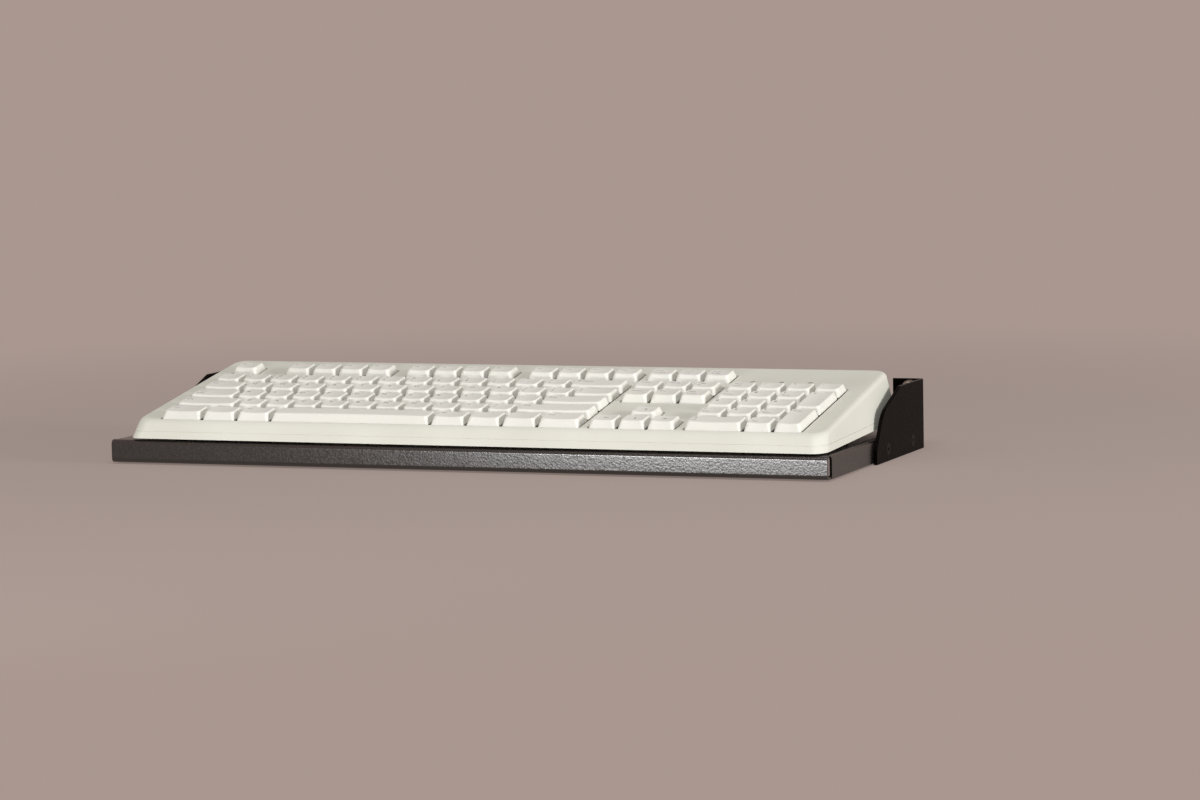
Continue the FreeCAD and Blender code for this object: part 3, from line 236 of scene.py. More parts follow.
# A Mix node has sockets of one name for several kinds of data, so its colour sockets are
# given by number: the share, the two colours and the result.
SHARE, FIRST, SECOND, RESULT = 0, 6, 7, 2


# Numbers and frames

def linear(code):
    """A hex sRGB colour as the linear colour that the shader sockets take: a straight part for
    dark values, and a power curve for the rest."""
    parts = np.array([int(code[i:i + 2], 16) / 255.0 for i in (1, 3, 5)])
    low = parts / 12.92
    high = ((parts + 0.055) / 1.055) ** 2.4
    return (*np.where(parts <= 0.04045, low, high).tolist(), 1.0)


def turned(points, origin, degrees):
    """Points of a frame that is turned about X and moved to its origin: y and z turn together."""
    angle = math.radians(degrees)
    x, y, z = np.moveaxis(np.asarray(points, float), -1, 0)
    back = y * math.cos(angle) - z * math.sin(angle)
    up = y * math.sin(angle) + z * math.cos(angle)
    return np.stack([x, back, up], axis=-1) + np.array(origin)


def from_case(points):
    """Points given in the case's frame, whose floor is the case's foot."""
    return turned(points, CASE_PLACE, CASE_TILT)


def from_deck(points):
    """Points given in the deck's frame, whose floor is the case's sloping roof."""
    return turned(points, DECK_PLACE, DECK_TILT)


def deck_box(node):
    """Lowest and highest corner of a CAD node in the deck frame, in millimetres."""
    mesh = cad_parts[node].data
    spots = np.empty(len(mesh.vertices) * 3)
    mesh.vertices.foreach_get("co", spots)
    spots = spots.reshape(-1, 3) / MM - np.array(DECK_PLACE)
    spots = turned(spots, (0, 0, 0), -DECK_TILT)
    return spots.min(axis=0), spots.max(axis=0)


# Surfaces

def outline(arc, run):
    """Unit round-cornered rectangle, anticlockwise from its right side: for each point the
    share of the way to the corner centres (sx, sy) and the outward direction (nx, ny). Each
    corner turns through a quarter circle in arc steps, and each side is parted in run steps."""
    rows = []
    corners = [(1, 1), (-1, 1), (-1, -1), (1, -1)]
    for number, (sx, sy) in enumerate(corners):
        turn = np.radians(90 * number + np.linspace(0, 90, arc + 1))
        side = np.ones_like(turn)
        rows.append(np.stack([sx * side, sy * side, np.cos(turn), np.sin(turn)], axis=1))
        share = np.linspace(0, 1, run + 1)[1:-1, None]
        here = np.array([[sx, sy]])
        there = np.array([corners[(number + 1) % 4]])
        normal = np.array([[np.cos(turn[-1]), np.sin(turn[-1])]])
        rows.append(np.hstack([here + (there - here) * share, np.repeat(normal, len(share), 0)]))
    return np.vstack(rows)


def ring(table, left, right, front, back, radius):
    """Rounded rectangle between four sides: corner centre plus radius times direction. The
    sides and the radius may be columns, one row for each level of a loft."""
    sx, sy, nx, ny = table.T
    middle_x, half_x = (left + right) / 2, (right - left) / 2
    middle_y, half_y = (front + back) / 2, (back - front) / 2
    x = middle_x + sx * (half_x - radius) + nx * radius
    y = middle_y + sy * (half_y - radius) + ny * radius
    return x, y


def loft(rings, start="pole", end="pole"):
    """Skin over a stack of rings (levels, points, 3), each joined to the next by quads. An end
    is a pole, where the ring shrinks to its middle, or a flat lid. Returns points and faces."""
    levels, count = rings.shape[:2]
    points = rings.reshape(-1, 3)
    here = np.arange(count)
    after = (here + 1) % count
    first = (np.arange(levels - 1) * count)[:, None]
    second = first + count
    quads = np.stack([first + here, first + after, second + after, second + here], axis=-1)
    faces = quads.reshape(-1, 4).tolist()
    for kind, base, forward in ((start, 0, False), (end, (levels - 1) * count, True)):
        edge = base + here
        if kind == "pole":
            points = np.vstack([points, rings[base // count].mean(axis=0)])
            tip = np.full(count, len(points) - 1)
            fan = [edge, base + after, tip] if forward else [base + after, edge, tip]
            faces += np.stack(fan, axis=1).tolist()
        else:
            faces.append((edge if forward else edge[::-1]).tolist())
    return points, faces


def outward(points, faces):
    """The skin with its faces turned outward. Its signed volume is a sixth of the sum, over each
    face's fan of triangles, of one corner times the cross product of the other two."""
    centred = points - points.mean(axis=0)
    total = 0.0
    for face in faces:
        corner = centred[face]
        total += (np.cross(corner[1:-1], corner[2:]) @ corner[0]).sum()
    if total < 0:
        faces = [face[::-1] for face in faces]
    return points, faces


def make_piece(name, skins):
    """One object from skins: points in millimetres, faces and the number of its material."""
    points, faces, numbers, start = [], [], [], 0
    for skin_points, skin_faces, number in skins:
        points.append(skin_points)
        faces += [[start + index for index in face] for face in skin_faces]
        numbers += [number] * len(skin_faces)
        start += len(skin_points)
    mesh = bpy.data.meshes.new(name)
    mesh.from_pydata((np.vstack(points) * MM).tolist(), [], faces)
    mesh.polygons.foreach_set("material_index", np.array(numbers, np.int32))
    mesh.update()
    piece = bpy.data.objects.new(name, mesh)
    bpy.context.scene.collection.objects.link(piece)
    return piece


def applied(piece):
    """The piece with its modifiers worked into its mesh."""
    graph = bpy.context.evaluated_depsgraph_get()
    worked = bpy.data.meshes.new_from_object(piece.evaluated_get(graph))
    old = piece.data
    piece.modifiers.clear()
    piece.data = worked
    bpy.data.meshes.remove(old)
    worked.name = piece.name
    return piece


def smooth(piece, degrees=32):
    """Rounded where faces meet at less than the angle; each corner's normal leans to the larger
    of its faces, so that flat faces stay flat up to their rounded edges."""
    piece.data.shade_smooth()
    piece.data.set_sharp_from_angle(angle=math.radians(degrees))
    normals = piece.modifiers.new("normals", "WEIGHTED_NORMAL")
    normals.mode = "FACE_AREA"
    normals.weight = 100
    normals.keep_sharp = True
    return applied(piece)


def carve(piece, points, faces):
    """Takes the room of a closed skin out of the piece."""
    tool = make_piece("tool", [(*outward(points, faces), 0)])
    modifier = piece.modifiers.new("carve", "BOOLEAN")
    modifier.operation = "DIFFERENCE"
    modifier.solver = "MANIFOLD"
    modifier.object = tool
    applied(piece)
    piece.data.materials.clear()
    bpy.data.objects.remove(tool)


def fit(piece, body, node, materials):
    """Gives the piece its materials and its body, and hides the CAD node it stands for."""
    for material in materials:
        piece.data.materials.append(material)
    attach(piece, body)
    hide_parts(node)


def softened_copy(node, name, width, steps=2, degrees=35):
    """A CAD node's own mesh, merged, with its sharp edges rounded by a small bevel."""
    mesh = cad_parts[node].data.copy()
    mesh.name = name
    mesh.materials.clear()
    work = bmesh.new()
    work.from_mesh(mesh)
    bmesh.ops.remove_doubles(work, verts=work.verts, dist=0.002 * MM)
    bmesh.ops.dissolve_limit(work, angle_limit=math.radians(0.5), verts=work.verts, edges=work.edges)
    work.to_mesh(mesh)
    work.free()
    for attribute in ("custom_normal", "sharp_edge", "sharp_face"):
        if attribute in mesh.attributes:
            mesh.attributes.remove(mesh.attributes[attribute])
    piece = bpy.data.objects.new(name, mesh)
    bpy.context.scene.collection.objects.link(piece)
    bevel = piece.modifiers.new("edges", "BEVEL")
    bevel.width = width * MM
    bevel.segments = steps
    bevel.limit_method = "ANGLE"
    bevel.angle_limit = math.radians(degrees)
    bevel.use_clamp_overlap = True
    applied(piece)
    return smooth(piece)


# Materials

def add_node(tree, kind, fields=None, values=None, links=None):
    """Adds a node with its settings, its socket values and the sockets that feed it."""
    node = tree.nodes.new(kind)
    for field, value in (fields or {}).items():
        setattr(node, field, value)
    for socket, value in (values or {}).items():
        node.inputs[socket].default_value = value
    for socket, source in (links or {}).items():
        tree.links.new(source, node.inputs[socket])
    return node


def start_material(name, **sockets):
    """A new material with a plain surface shader, whose constant values are given by socket
    name, and the Object coordinates that its patterns read."""
    material = bpy.data.materials.new(name)
    material.use_nodes = True
    tree = material.node_tree
    shader = tree.nodes["Principled BSDF"]
    for socket, value in sockets.items():
        shader.inputs[socket.replace("_", " ")].default_value = value
    where = add_node(tree, "ShaderNodeTexCoord").outputs["Object"]
    return material, tree, shader, where


def feed_surface(tree, shader, **sources):
    """Feeds the surface shader's sockets, given by name, from the material's nodes."""
    for socket, source in sources.items():
        tree.links.new(source, shader.inputs[socket.replace("_", " ")])


def per_metre(size):
    """Pattern scale that gives features of a size in millimetres on Object coordinates."""
    return 1.0 / (size * MM)


def hammered_enamel(name, settings, shine):
    # Hammer-finish enamel on steel: the wet paint draws up into fine dimples, and the metal
    # flakes in it come up as flecks of about a millimetre that are glossier than the ground.
    # It is nearly black and shows mostly by what it mirrors.
    material, tree, shader, where = start_material(name, IOR=1.6, Specular_IOR_Level=shine)
    dimples = add_node(tree, "ShaderNodeTexVoronoi", {"feature": "SMOOTH_F1"},
                       {"Scale": per_metre(settings.dimple), "Smoothness": 0.6}, {"Vector": where})
    grain = add_node(tree, "ShaderNodeTexNoise", None,
                     {"Scale": per_metre(settings.fleck_size), "Roughness": 0.6}, {"Vector": where})
    fleck = add_node(tree, "ShaderNodeMapRange", {"interpolation_type": "SMOOTHSTEP"},
                     {"From Min": 0.35, "From Max": 0.65}, {"Value": grain.outputs["Fac"]})
    paint = add_node(tree, "ShaderNodeMix", {"data_type": "RGBA"},
                     {FIRST: linear(settings.paint), SECOND: linear(settings.fleck)},
                     {SHARE: fleck.outputs["Result"]})
    gloss = add_node(tree, "ShaderNodeMapRange", None,
                     {"To Min": settings.gloss + 0.1, "To Max": settings.gloss},
                     {"Value": fleck.outputs["Result"]})
    relief = add_node(tree, "ShaderNodeMath", {"operation": "MULTIPLY_ADD"}, {1: 0.25},
                      {0: grain.outputs["Fac"], 2: dimples.outputs["Distance"]})
    bump = add_node(tree, "ShaderNodeBump", None,
                    {"Strength": settings.dimple_strength, "Distance": 0.4 * MM},
                    {"Height": relief.outputs["Value"]})
    feed_surface(tree, shader, Base_Color=paint.outputs[RESULT], Roughness=gloss.outputs["Result"],
                 Normal=bump.outputs["Normal"])
    return material


def plated_steel(name, code_low, code_high, roughness):
    # Zinc or nickel plate on turned steel: metallic, slightly cloudy, with fine turning marks.
    material, tree, shader, where = start_material(name, Metallic=1.0)
    cloud = add_node(tree, "ShaderNodeTexNoise", None,
                     {"Scale": per_metre(2.5), "Detail": 4.0, "Roughness": 0.6}, {"Vector": where})
    marks = add_node(tree, "ShaderNodeTexNoise", None,
                     {"Scale": per_metre(0.3), "Detail": 1.0}, {"Vector": where})
    plate = add_node(tree, "ShaderNodeMix", {"data_type": "RGBA"},
                     {FIRST: linear(code_low), SECOND: linear(code_high)}, {SHARE: cloud.outputs["Fac"]})
    gloss = add_node(tree, "ShaderNodeMapRange", None,
                     {"To Min": roughness, "To Max": roughness + 0.15}, {"Value": cloud.outputs["Fac"]})
    bump = add_node(tree, "ShaderNodeBump", None, {"Strength": 0.15, "Distance": 0.1 * MM},
                    {"Height": marks.outputs["Fac"]})
    feed_surface(tree, shader, Base_Color=plate.outputs[RESULT], Roughness=gloss.outputs["Result"],
                 Normal=bump.outputs["Normal"])
    return material


def moulded_plastic(name, code_low, code_high, grain, depth, roughness):
    # ABS moulded in a spark-eroded tool: an even matt grain, drawn a little coarser than the
    # real 0.2 mm so that it shows, over a slow change of tone from handling and age.
    material, tree, shader, where = start_material(name, IOR=1.53)
    texture = add_node(tree, "ShaderNodeTexNoise", None,
                       {"Scale": per_metre(grain), "Roughness": 0.55}, {"Vector": where})
    tone = add_node(tree, "ShaderNodeTexNoise", None,
                    {"Scale": per_metre(60), "Detail": 3.0}, {"Vector": where})
    shade = add_node(tree, "ShaderNodeMapRange", None, {"From Min": 0.3, "From Max": 0.7},
                     {"Value": tone.outputs["Fac"]})
    colour = add_node(tree, "ShaderNodeMix", {"data_type": "RGBA"},
                      {FIRST: linear(code_low), SECOND: linear(code_high)},
                      {SHARE: shade.outputs["Result"]})
    gloss = add_node(tree, "ShaderNodeMapRange", None,
                     {"To Min": roughness - 0.04, "To Max": roughness + 0.06},
                     {"Value": tone.outputs["Fac"]})
    bump = add_node(tree, "ShaderNodeBump", None, {"Strength": 0.3, "Distance": depth * MM},
                    {"Height": texture.outputs["Fac"]})
    feed_surface(tree, shader, Base_Color=colour.outputs[RESULT], Roughness=gloss.outputs["Result"],
                 Normal=bump.outputs["Normal"])
    return material


def rubber(name, code_low, code_high, roughness):
    # Moulded rubber: dull, with a bloom of paler dust in its pores.
    material, tree, shader, where = start_material(name, Specular_IOR_Level=0.3)
    pores = add_node(tree, "ShaderNodeTexNoise", None,
                     {"Scale": per_metre(0.8), "Detail": 3.0, "Roughness": 0.6}, {"Vector": where})
    bloom = add_node(tree, "ShaderNodeMapRange", None, {"From Min": 0.35, "From Max": 0.75},
                     {"Value": pores.outputs["Fac"]})
    colour = add_node(tree, "ShaderNodeMix", {"data_type": "RGBA"},
                      {FIRST: linear(code_low), SECOND: linear(code_high)},
                      {SHARE: bloom.outputs["Result"]})
    gloss = add_node(tree, "ShaderNodeMapRange", None,
                     {"To Min": roughness, "To Max": roughness + 0.15}, {"Value": pores.outputs["Fac"]})
    bump = add_node(tree, "ShaderNodeBump", None, {"Strength": 0.3, "Distance": 0.2 * MM},
                    {"Height": pores.outputs["Fac"]})
    feed_surface(tree, shader, Base_Color=colour.outputs[RESULT], Roughness=gloss.outputs["Result"],
                 Normal=bump.outputs["Normal"])
    return material


def clear_acrylic():
    # Moulded clear acrylic light pipe: glassy, a little milky inside.
    material, tree, shader, where = start_material("clear_acrylic", IOR=1.49, Transmission_Weight=0.6)
    milk = add_node(tree, "ShaderNodeTexNoise", None, {"Scale": per_metre(2.0)}, {"Vector": where})
    colour = add_node(tree, "ShaderNodeMix", {"data_type": "RGBA"},
                      {FIRST: linear("#C9D3BE"), SECOND: linear("#DDE3D2")}, {SHARE: milk.outputs["Fac"]})
    gloss = add_node(tree, "ShaderNodeMapRange", None, {"To Min": 0.08, "To Max": 0.2},
                     {"Value": milk.outputs["Fac"]})
    feed_surface(tree, shader, Base_Color=colour.outputs[RESULT], Roughness=gloss.outputs["Result"])
    return material


def printed_sheet(name, code_base, code_track, pitch):
    # Polyester film or board with printed tracks: a glossy sheet with a fine repeating pattern.
    material, tree, shader, where = start_material(name, IOR=1.6)
    tracks = add_node(tree, "ShaderNodeTexBrick", None,
                      {"Scale": 1.0, "Mortar Size": 0.6 * MM, "Brick Width": pitch * MM,
                       "Row Height": pitch * MM / 3, "Color1": linear(code_base),
                       "Color2": linear(code_base), "Mortar": linear(code_track)}, {"Vector": where})
    cloud = add_node(tree, "ShaderNodeTexNoise", None, {"Scale": per_metre(15)}, {"Vector": where})
    gloss = add_node(tree, "ShaderNodeMapRange", None, {"To Min": 0.25, "To Max": 0.4},
                     {"Value": cloud.outputs["Fac"]})
    feed_surface(tree, shader, Base_Color=tracks.outputs["Color"], Roughness=gloss.outputs["Result"])
    return material


def printed_ink(name, code_fresh, code_worn):
    # Pad-printed ink: flat grey, slightly worn where a finger lands.
    material, tree, shader, where = start_material(name, Roughness=0.5)
    rub = add_node(tree, "ShaderNodeTexNoise", None,
                   {"Scale": per_metre(6), "Detail": 3.0}, {"Vector": where})
    wear = add_node(tree, "ShaderNodeMapRange", None, {"From Min": 0.4, "From Max": 0.9},
                    {"Value": rub.outputs["Fac"]})
    colour = add_node(tree, "ShaderNodeMix", {"data_type": "RGBA"},
                      {FIRST: linear(code_fresh), SECOND: linear(code_worn)},
                      {SHARE: wear.outputs["Result"]})
    feed_surface(tree, shader, Base_Color=colour.outputs[RESULT])
    return material


def seen_directly(tree):
    """1 for rays that show a surface to the camera, in a mirror or through glass, else 0."""
    path = add_node(tree, "ShaderNodeLightPath").outputs
    mirrored = add_node(tree, "ShaderNodeMath", {"operation": "MAXIMUM"}, None,
                        {0: path["Is Camera Ray"], 1: path["Is Glossy Ray"]})
    shown = add_node(tree, "ShaderNodeMath", {"operation": "MAXIMUM"}, None,
                     {0: mirrored.outputs["Value"], 1: path["Is Transmission Ray"]})
    return shown.outputs["Value"]


def painted_board(settings):
    # Matt painted board. Round the object half of what shows is its lit paint with the object's
    # shadow on it; further off only its own even colour shows to the camera and in mirrors.
    material, tree, shader, where = start_material("painted_backdrop", Roughness=0.9,
                                                   Specular_IOR_Level=0.1)
    cloud = add_node(tree, "ShaderNodeTexNoise", None, {"Scale": 1.2}, {"Vector": where})
    board = add_node(tree, "ShaderNodeMix", {"data_type": "RGBA"},
                     {FIRST: linear(settings.floor), SECOND: linear(settings.floor_patch)},
                     {SHARE: cloud.outputs["Fac"]})
    feed_surface(tree, shader, Base_Color=board.outputs[RESULT])
    reach = add_node(tree, "ShaderNodeVectorMath", {"operation": "LENGTH"}, None, {0: where})
    far = add_node(tree, "ShaderNodeMapRange", {"interpolation_type": "SMOOTHSTEP"},
                   {"From Min": FADE_START, "From Max": FADE_END, "To Min": 0.5},
                   {"Value": reach.outputs["Value"]})
    even = add_node(tree, "ShaderNodeMath", {"operation": "MULTIPLY"}, None,
                    {0: seen_directly(tree), 1: far.outputs["Result"]})
    glow = add_node(tree, "ShaderNodeEmission", None, {"Color": linear(settings.backdrop)})
    mixed = add_node(tree, "ShaderNodeMixShader", None, None,
                     {0: even.outputs["Value"], 1: shader.outputs["BSDF"], 2: glow.outputs["Emission"]})
    tree.links.new(mixed.outputs["Shader"], tree.nodes["Material Output"].inputs["Surface"])
    return material


def finish_node(node, material):
    """A CAD node keeps its shape and gets its real material."""
    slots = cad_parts[node].data.materials
    for number in range(len(slots)):
        slots[number] = material
    if not len(slots):
        slots.append(material)


# Settings that a user would change

class ShelfSettings(PropertyGroup):
    """Sheet metal of the shelf."""
    paint: StringProperty(name="Paint", description="Colour of the enamel, sRGB hex", default="#060505")
    fleck: StringProperty(
        name="Fleck", description="Colour of the enamel's metal flecks, sRGB hex", default="#0F0B09")
    tray_shine: FloatProperty(
        name="Tray shine", description="Strength of the tray's reflections",
        default=1.0, min=0, max=1, subtype="FACTOR")
    # Its low default takes nearly all reflection off the brackets, so that they stay black: painted shade,
    # as if a dark rack stood round them.
    bracket_shine: FloatProperty(
        name="Bracket shine", description="Strength of the brackets' reflections",
        default=0.01, min=0, max=1, subtype="FACTOR")
    fleck_size: FloatProperty(name="Fleck size", description="Size of a fleck in mm", default=1.1, min=0.2)
    gloss: FloatProperty(
        name="Roughness", description="Roughness of the enamel",
        default=0.2, min=0, max=1, subtype="FACTOR")
    dimple: FloatProperty(
        name="Dimple", description="Width of a hammer dimple in mm", default=1.2, min=0.5)
    dimple_strength: FloatProperty(
        name="Dimple strength", description="Depth of the dimples",
        default=0.1, min=0, max=1, subtype="FACTOR")
    edge: FloatProperty(
        name="Sheet edge", description="Rounding of the sheet's cut edges in mm", default=0.25, min=0)


class KeyboardSettings(PropertyGroup):
    """Plastic of the keyboard."""
    case_low: StringProperty(
        name="Case", description="Darker tone of the case, sRGB hex", default="#D5D5C9")
    case_high: StringProperty(
        name="Case, lighter", description="Lighter tone of the case, sRGB hex", default="#DDDDD2")
    cap_low: StringProperty(
        name="Caps", description="Darker tone of the key caps, sRGB hex", default="#E3E2DA")
    cap_high: StringProperty(
        name="Caps, lighter", description="Lighter tone of the caps, sRGB hex", default="#EAE9E2")
    ink: StringProperty(
        name="Legends", description="Colour of the words on the caps, sRGB hex", default="#5A5A58")
    case_round: FloatProperty(
        name="Case edge", description="Rounding along the top of the case in mm",
        default=3.2, min=0.5, max=6)
    well_round: FloatProperty(
        name="Well corner", description="Corner radius of the key wells in mm",
        default=2.4, min=0.5, max=3)
    cap_round: FloatProperty(
        name="Cap edge", description="Rounding of a cap's upper edge in mm", default=0.7, min=0.2, max=1.2)
    word_size: FloatProperty(
        name="Word size", description="Height of single letters in mm", default=4.2, min=1)


class StageSettings(PropertyGroup):
    """Floor and light."""
    backdrop: StringProperty(
        name="Backdrop", description="Colour of the backdrop, sRGB hex", default="#A99790")
    floor: StringProperty(
        name="Floor", description="Colour of the floor near the object, sRGB hex", default="#ABA099")
    floor_patch: StringProperty(
        name="Floor, lighter", description="Lighter tone of the floor, sRGB hex", default="#AFA39C")
    key_power: FloatProperty(
        name="High light", description="Power of the large high light in watts", default=37.0, min=0)
    side_power: FloatProperty(
        name="Side light", description="Power of the light from the right in watts", default=54.0, min=0)
    glance_power: FloatProperty(
        name="Low light", description="Power, in watts, of the low light that the tray's front mirrors",
        default=2.7, min=0)
    sky: FloatProperty(
        name="Room light", description="Strength of the even light from the room", default=0.36, min=0)


# Pieces

class SHELF_OT_tray(Operator):
    """The folded tray and the bar welded under its rear edge."""
    bl_idname = "shelf.tray"
    bl_label = "Tray"

    def execute(self, context):
        settings = context.scene.shelf_metal
        enamel = hammered_enamel("hammered_black_enamel", settings, settings.tray_shine)
        for node, name in (("shelf_tray", "tray_sheet"), ("rear_bar", "stiffening_bar")):
            fit(softened_copy(node, name, settings.edge), "shelf", node, [enamel])
        return {"FINISHED"}


class SHELF_OT_brackets(Operator):
    """The two folded side brackets."""
    bl_idname = "shelf.brackets"
    bl_label = "Brackets"

    def execute(self, context):
        settings = context.scene.shelf_metal
        # The tray's enamel with its reflections nearly off: the brackets' black is painted shade.
        enamel = hammered_enamel("dull_black_enamel", settings, settings.bracket_shine)
        for node in ("left_bracket", "right_bracket"):
            piece = softened_copy(node, node + "_sheet", settings.edge)
            fit(piece, "shelf", node, [enamel])
        return {"FINISHED"}


class SHELF_OT_fasteners(Operator):
    """Screws, nuts and washers keep their turned shapes and get their plating."""
    bl_idname = "shelf.fasteners"
    bl_label = "Fasteners"

    def execute(self, context):
        bright = plated_steel("nickel_plated_steel", "#9C9890", "#B9B5AC", 0.2)
        finish_node("rack_screws", bright)
        finish_node("rack_washers", bright)
        finish_node("arm_screws", plated_steel("black_zinc_countersunk", "#080706", "#110F0E", 0.4))
        finish_node("arm_nuts", plated_steel("bright_zinc_plate", "#A7A9AC", "#C6C8C9", 0.25))
        finish_node("case_screws", plated_steel("nickel_plate", "#A39F96", "#BEB9AE", 0.2))
        return {"FINISHED"}


def case_level(table, height, wall, front, radius):
    """Outline of the case at a height, inside a wall: each side leans in by its slope times the
    height."""
    half = CASE_HALF - wall - SIDE_LEAN * height
    near = front + height * LIP_SETBACK / LIP_HEIGHT
    far = CASE_DEPTH - wall - REAR_LEAN * height
    return ring(table, -half, half, near, far, radius)


def roof_height(along):
    """Height of the roof over the case's foot: the lip's height plus the slope's climb behind."""
    return LIP_HEIGHT + (along - LIP_SETBACK) * DECK_SLOPE


def case_skin(table, low, wall, front, radius, drop, rounding, foot):
    """Wedge under the sloping roof. Each point of the outline goes up its leaning wall, which
    is linear in height, to where it meets the roof; there a quadratic curve from the wall over
    the crease to the roof, inset by the rounding, takes the sharp edge off. The wall starts at
    the low height, from a narrower ring if it has a foot to round, and the roof lies lower by
    the drop."""
    base_x, base_y = case_level(table, 0.0, wall, front, radius)
    next_x, next_y = case_level(table, 1.0, wall, front, radius)
    lean_x, lean_y = next_x - base_x, next_y - base_y
    crest = (roof_height(base_y) - drop) / (1 - lean_y * DECK_SLOPE)

    def on_wall(height):
        """The outline's points at a height, which may differ from point to point."""
        return np.stack([base_x + lean_x * height, base_y + lean_y * height, height + 0 * base_x],
                        axis=-1)

    normal = table[:, 2:]
    inset_x = base_x + lean_x * crest - normal[:, 0] * rounding
    inset_y = base_y + lean_y * crest - normal[:, 1] * rounding
    roof = np.stack([inset_x, inset_y, roof_height(inset_y) - drop], axis=-1)
    corner = on_wall(crest)
    wall_top = on_wall(crest - rounding)
    share = np.linspace(0, 1, CREASE_STEPS)[:, None, None]
    curve = wall_top * (1 - share) ** 2 + corner * 2 * share * (1 - share) + roof * share ** 2
    foot_ring = on_wall(low)
    foot_ring[:, :2] -= normal * foot
    levels = [foot_ring[None]]
    if foot:
        levels.append(on_wall(low + foot)[None])
    levels.append(curve)
    return loft(np.concatenate(levels), "lid", "lid")


def well_skin(table, well, corner):
    """Cutter of a key well: straight up to the lip, then a quarter round that opens outward."""
    first, left, width, rows = well
    near = first - PITCH / 2 + KEY_GAP / 2 - WELL_GAP
    far = near + rows * PITCH - KEY_GAP + 2 * WELL_GAP
    start = left * PITCH + KEY_GAP / 2 - WELL_GAP
    end = start + width * PITCH - KEY_GAP + 2 * WELL_GAP
    turn = np.radians(np.linspace(0, 90, 5))
    grow = np.concatenate([[0], WELL_LIP * (1 - np.cos(turn)), [WELL_LIP]])[:, None]
    height = np.concatenate([[-WELL_DEPTH], WELL_LIP * (np.sin(turn) - 1), [WELL_RISE]])[:, None]
    x, y = ring(table, start - grow, end + grow, near - grow, far + grow, corner + grow)
    return loft(np.stack([x, y, height + 0 * x], axis=-1), "lid", "lid")


def rod_skin(middle, radius, axis, around):
    """Cutter of a round hole: two circles about an axis, as far before as behind the middle."""
    turn = np.linspace(0, 2 * np.pi, around, endpoint=False)
    first, second, along = np.cos(turn) * radius, np.sin(turn) * radius, np.full(around, CUT_REACH)
    if axis == "z":
        ends = [np.stack([first, second, side * along], axis=-1) for side in (-1, 1)]
    else:
        ends = [np.stack([first, side * along, second], axis=-1) for side in (-1, 1)]
    return loft(np.array(middle) + np.stack(ends), "lid", "lid")


class SHELF_OT_top_case(Operator):
    """Upper half of the keyboard's case, with its key wells."""
    bl_idname = "shelf.top_case"
    bl_label = "Upper case"

    def execute(self, context):
        settings = context.scene.shelf_keyboard
        table = outline(arc=12, run=1)
        points, faces = case_skin(table, SPLIT_HEIGHT, 0, 0, CASE_CORNER, 0, settings.case_round,
                                  SPLIT_EDGE)
        body = make_piece("upper_case", [(*outward(from_case(points), faces), 0)])
        # The hollow opens through the foot, and its roof is a wall's thickness under the top.
        roof = CASE_WALL / math.cos(math.radians(DECK_CLIMB))
        points, faces = case_skin(table, SPLIT_HEIGHT - HOLLOW_DROP, CASE_WALL, FRONT_WALL,
                                  CASE_CORNER - CASE_WALL, roof, HOLLOW_ROUND, 0)
        carve(body, from_case(points), faces)
        fine = outline(arc=5, run=1)
        for well in WELLS:
            points, faces = well_skin(fine, well, settings.well_round)
            carve(body, from_deck(points), faces)
        low, high = deck_box("indicator_lenses")
        middle = (low + high) / 2
        for across in np.linspace(low[0] + LAMP_HOLE, high[0] - LAMP_HOLE, 3):
            points, faces = rod_skin((across, middle[1], middle[2]), LAMP_HOLE, "z", around=24)
            carve(body, from_deck(points), faces)
        low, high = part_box("cord_grommet")
        carve(body, *rod_skin((low + high) / 2 / MM, GROMMET_HOLE, "y", around=32))
        smooth(body)
        plastic = moulded_plastic("ivory_abs_case", settings.case_low, settings.case_high,
                                  grain=0.5, depth=0.05, roughness=0.5)
        fit(body, "keyboard", "top_case", [plastic])
        return {"FINISHED"}


class SHELF_OT_lower_case(Operator):
    """Lower half of the case, its feet, pads and grommet."""
    bl_idname = "shelf.lower_case"
    bl_label = "Lower case and feet"

    def execute(self, context):
        settings = context.scene.shelf_keyboard
        plastic = moulded_plastic("ivory_abs_base", settings.case_low, settings.case_high,
                                  grain=0.5, depth=0.05, roughness=0.5)
        piece = softened_copy("bottom_case", "lower_case", LOWER_CASE_EDGE)
        fit(piece, "keyboard", "bottom_case", [plastic])
        for side in ("left", "right"):
            foot = side + "_foot"
            piece = softened_copy(foot, side + "_flip_foot", FLIP_FOOT_EDGE, steps=3)
            fit(piece, foot, foot, [plastic])
        dark = rubber("dark_rubber_pad", "#24211F", "#3A3633", 0.65)
        finish_node("front_pads", dark)
        finish_node("cord_grommet", dark)
        return {"FINISHED"}


class SHELF_OT_inside(Operator):
    """What lies under the keys: guide deck, rubber mat, contact film, board and light pipes."""
    bl_idname = "shelf.inside"
    bl_label = "Inside"

    def execute(self, context):
        # The guide deck's grey is painted shade: it darkens the gaps between the caps, where the deck
        # shows.
        finish_node("guide_deck", moulded_plastic("grey_abs_deck", "#8A8981", "#97968D",
                                                  grain=0.6, depth=0.05, roughness=0.55))
        finish_node("dome_mat", rubber("dome_rubber", "#B9B4A6", "#CFCABB", 0.5))
        finish_node("contact_film", printed_sheet("contact_film_sheet", "#7E9AA0", "#C9CFCE", 9.5))
        finish_node("controller_board", printed_sheet("circuit_board_sheet", "#2F5B3C", "#5C8A5F", 4.0))
        finish_node("indicator_lenses", clear_acrylic())
        return {"FINISHED"}


def cap_top_height(across, half, dish):
    """Height of a cap's top over the deck: a shallow parabola across the cap, deepest in the
    middle, or for a crowned bar highest in the middle."""
    share = np.clip(across / half, -1, 1) ** 2
    return CAP_TOP - dish * (1 - share) if dish >= 0 else CAP_TOP + dish * share


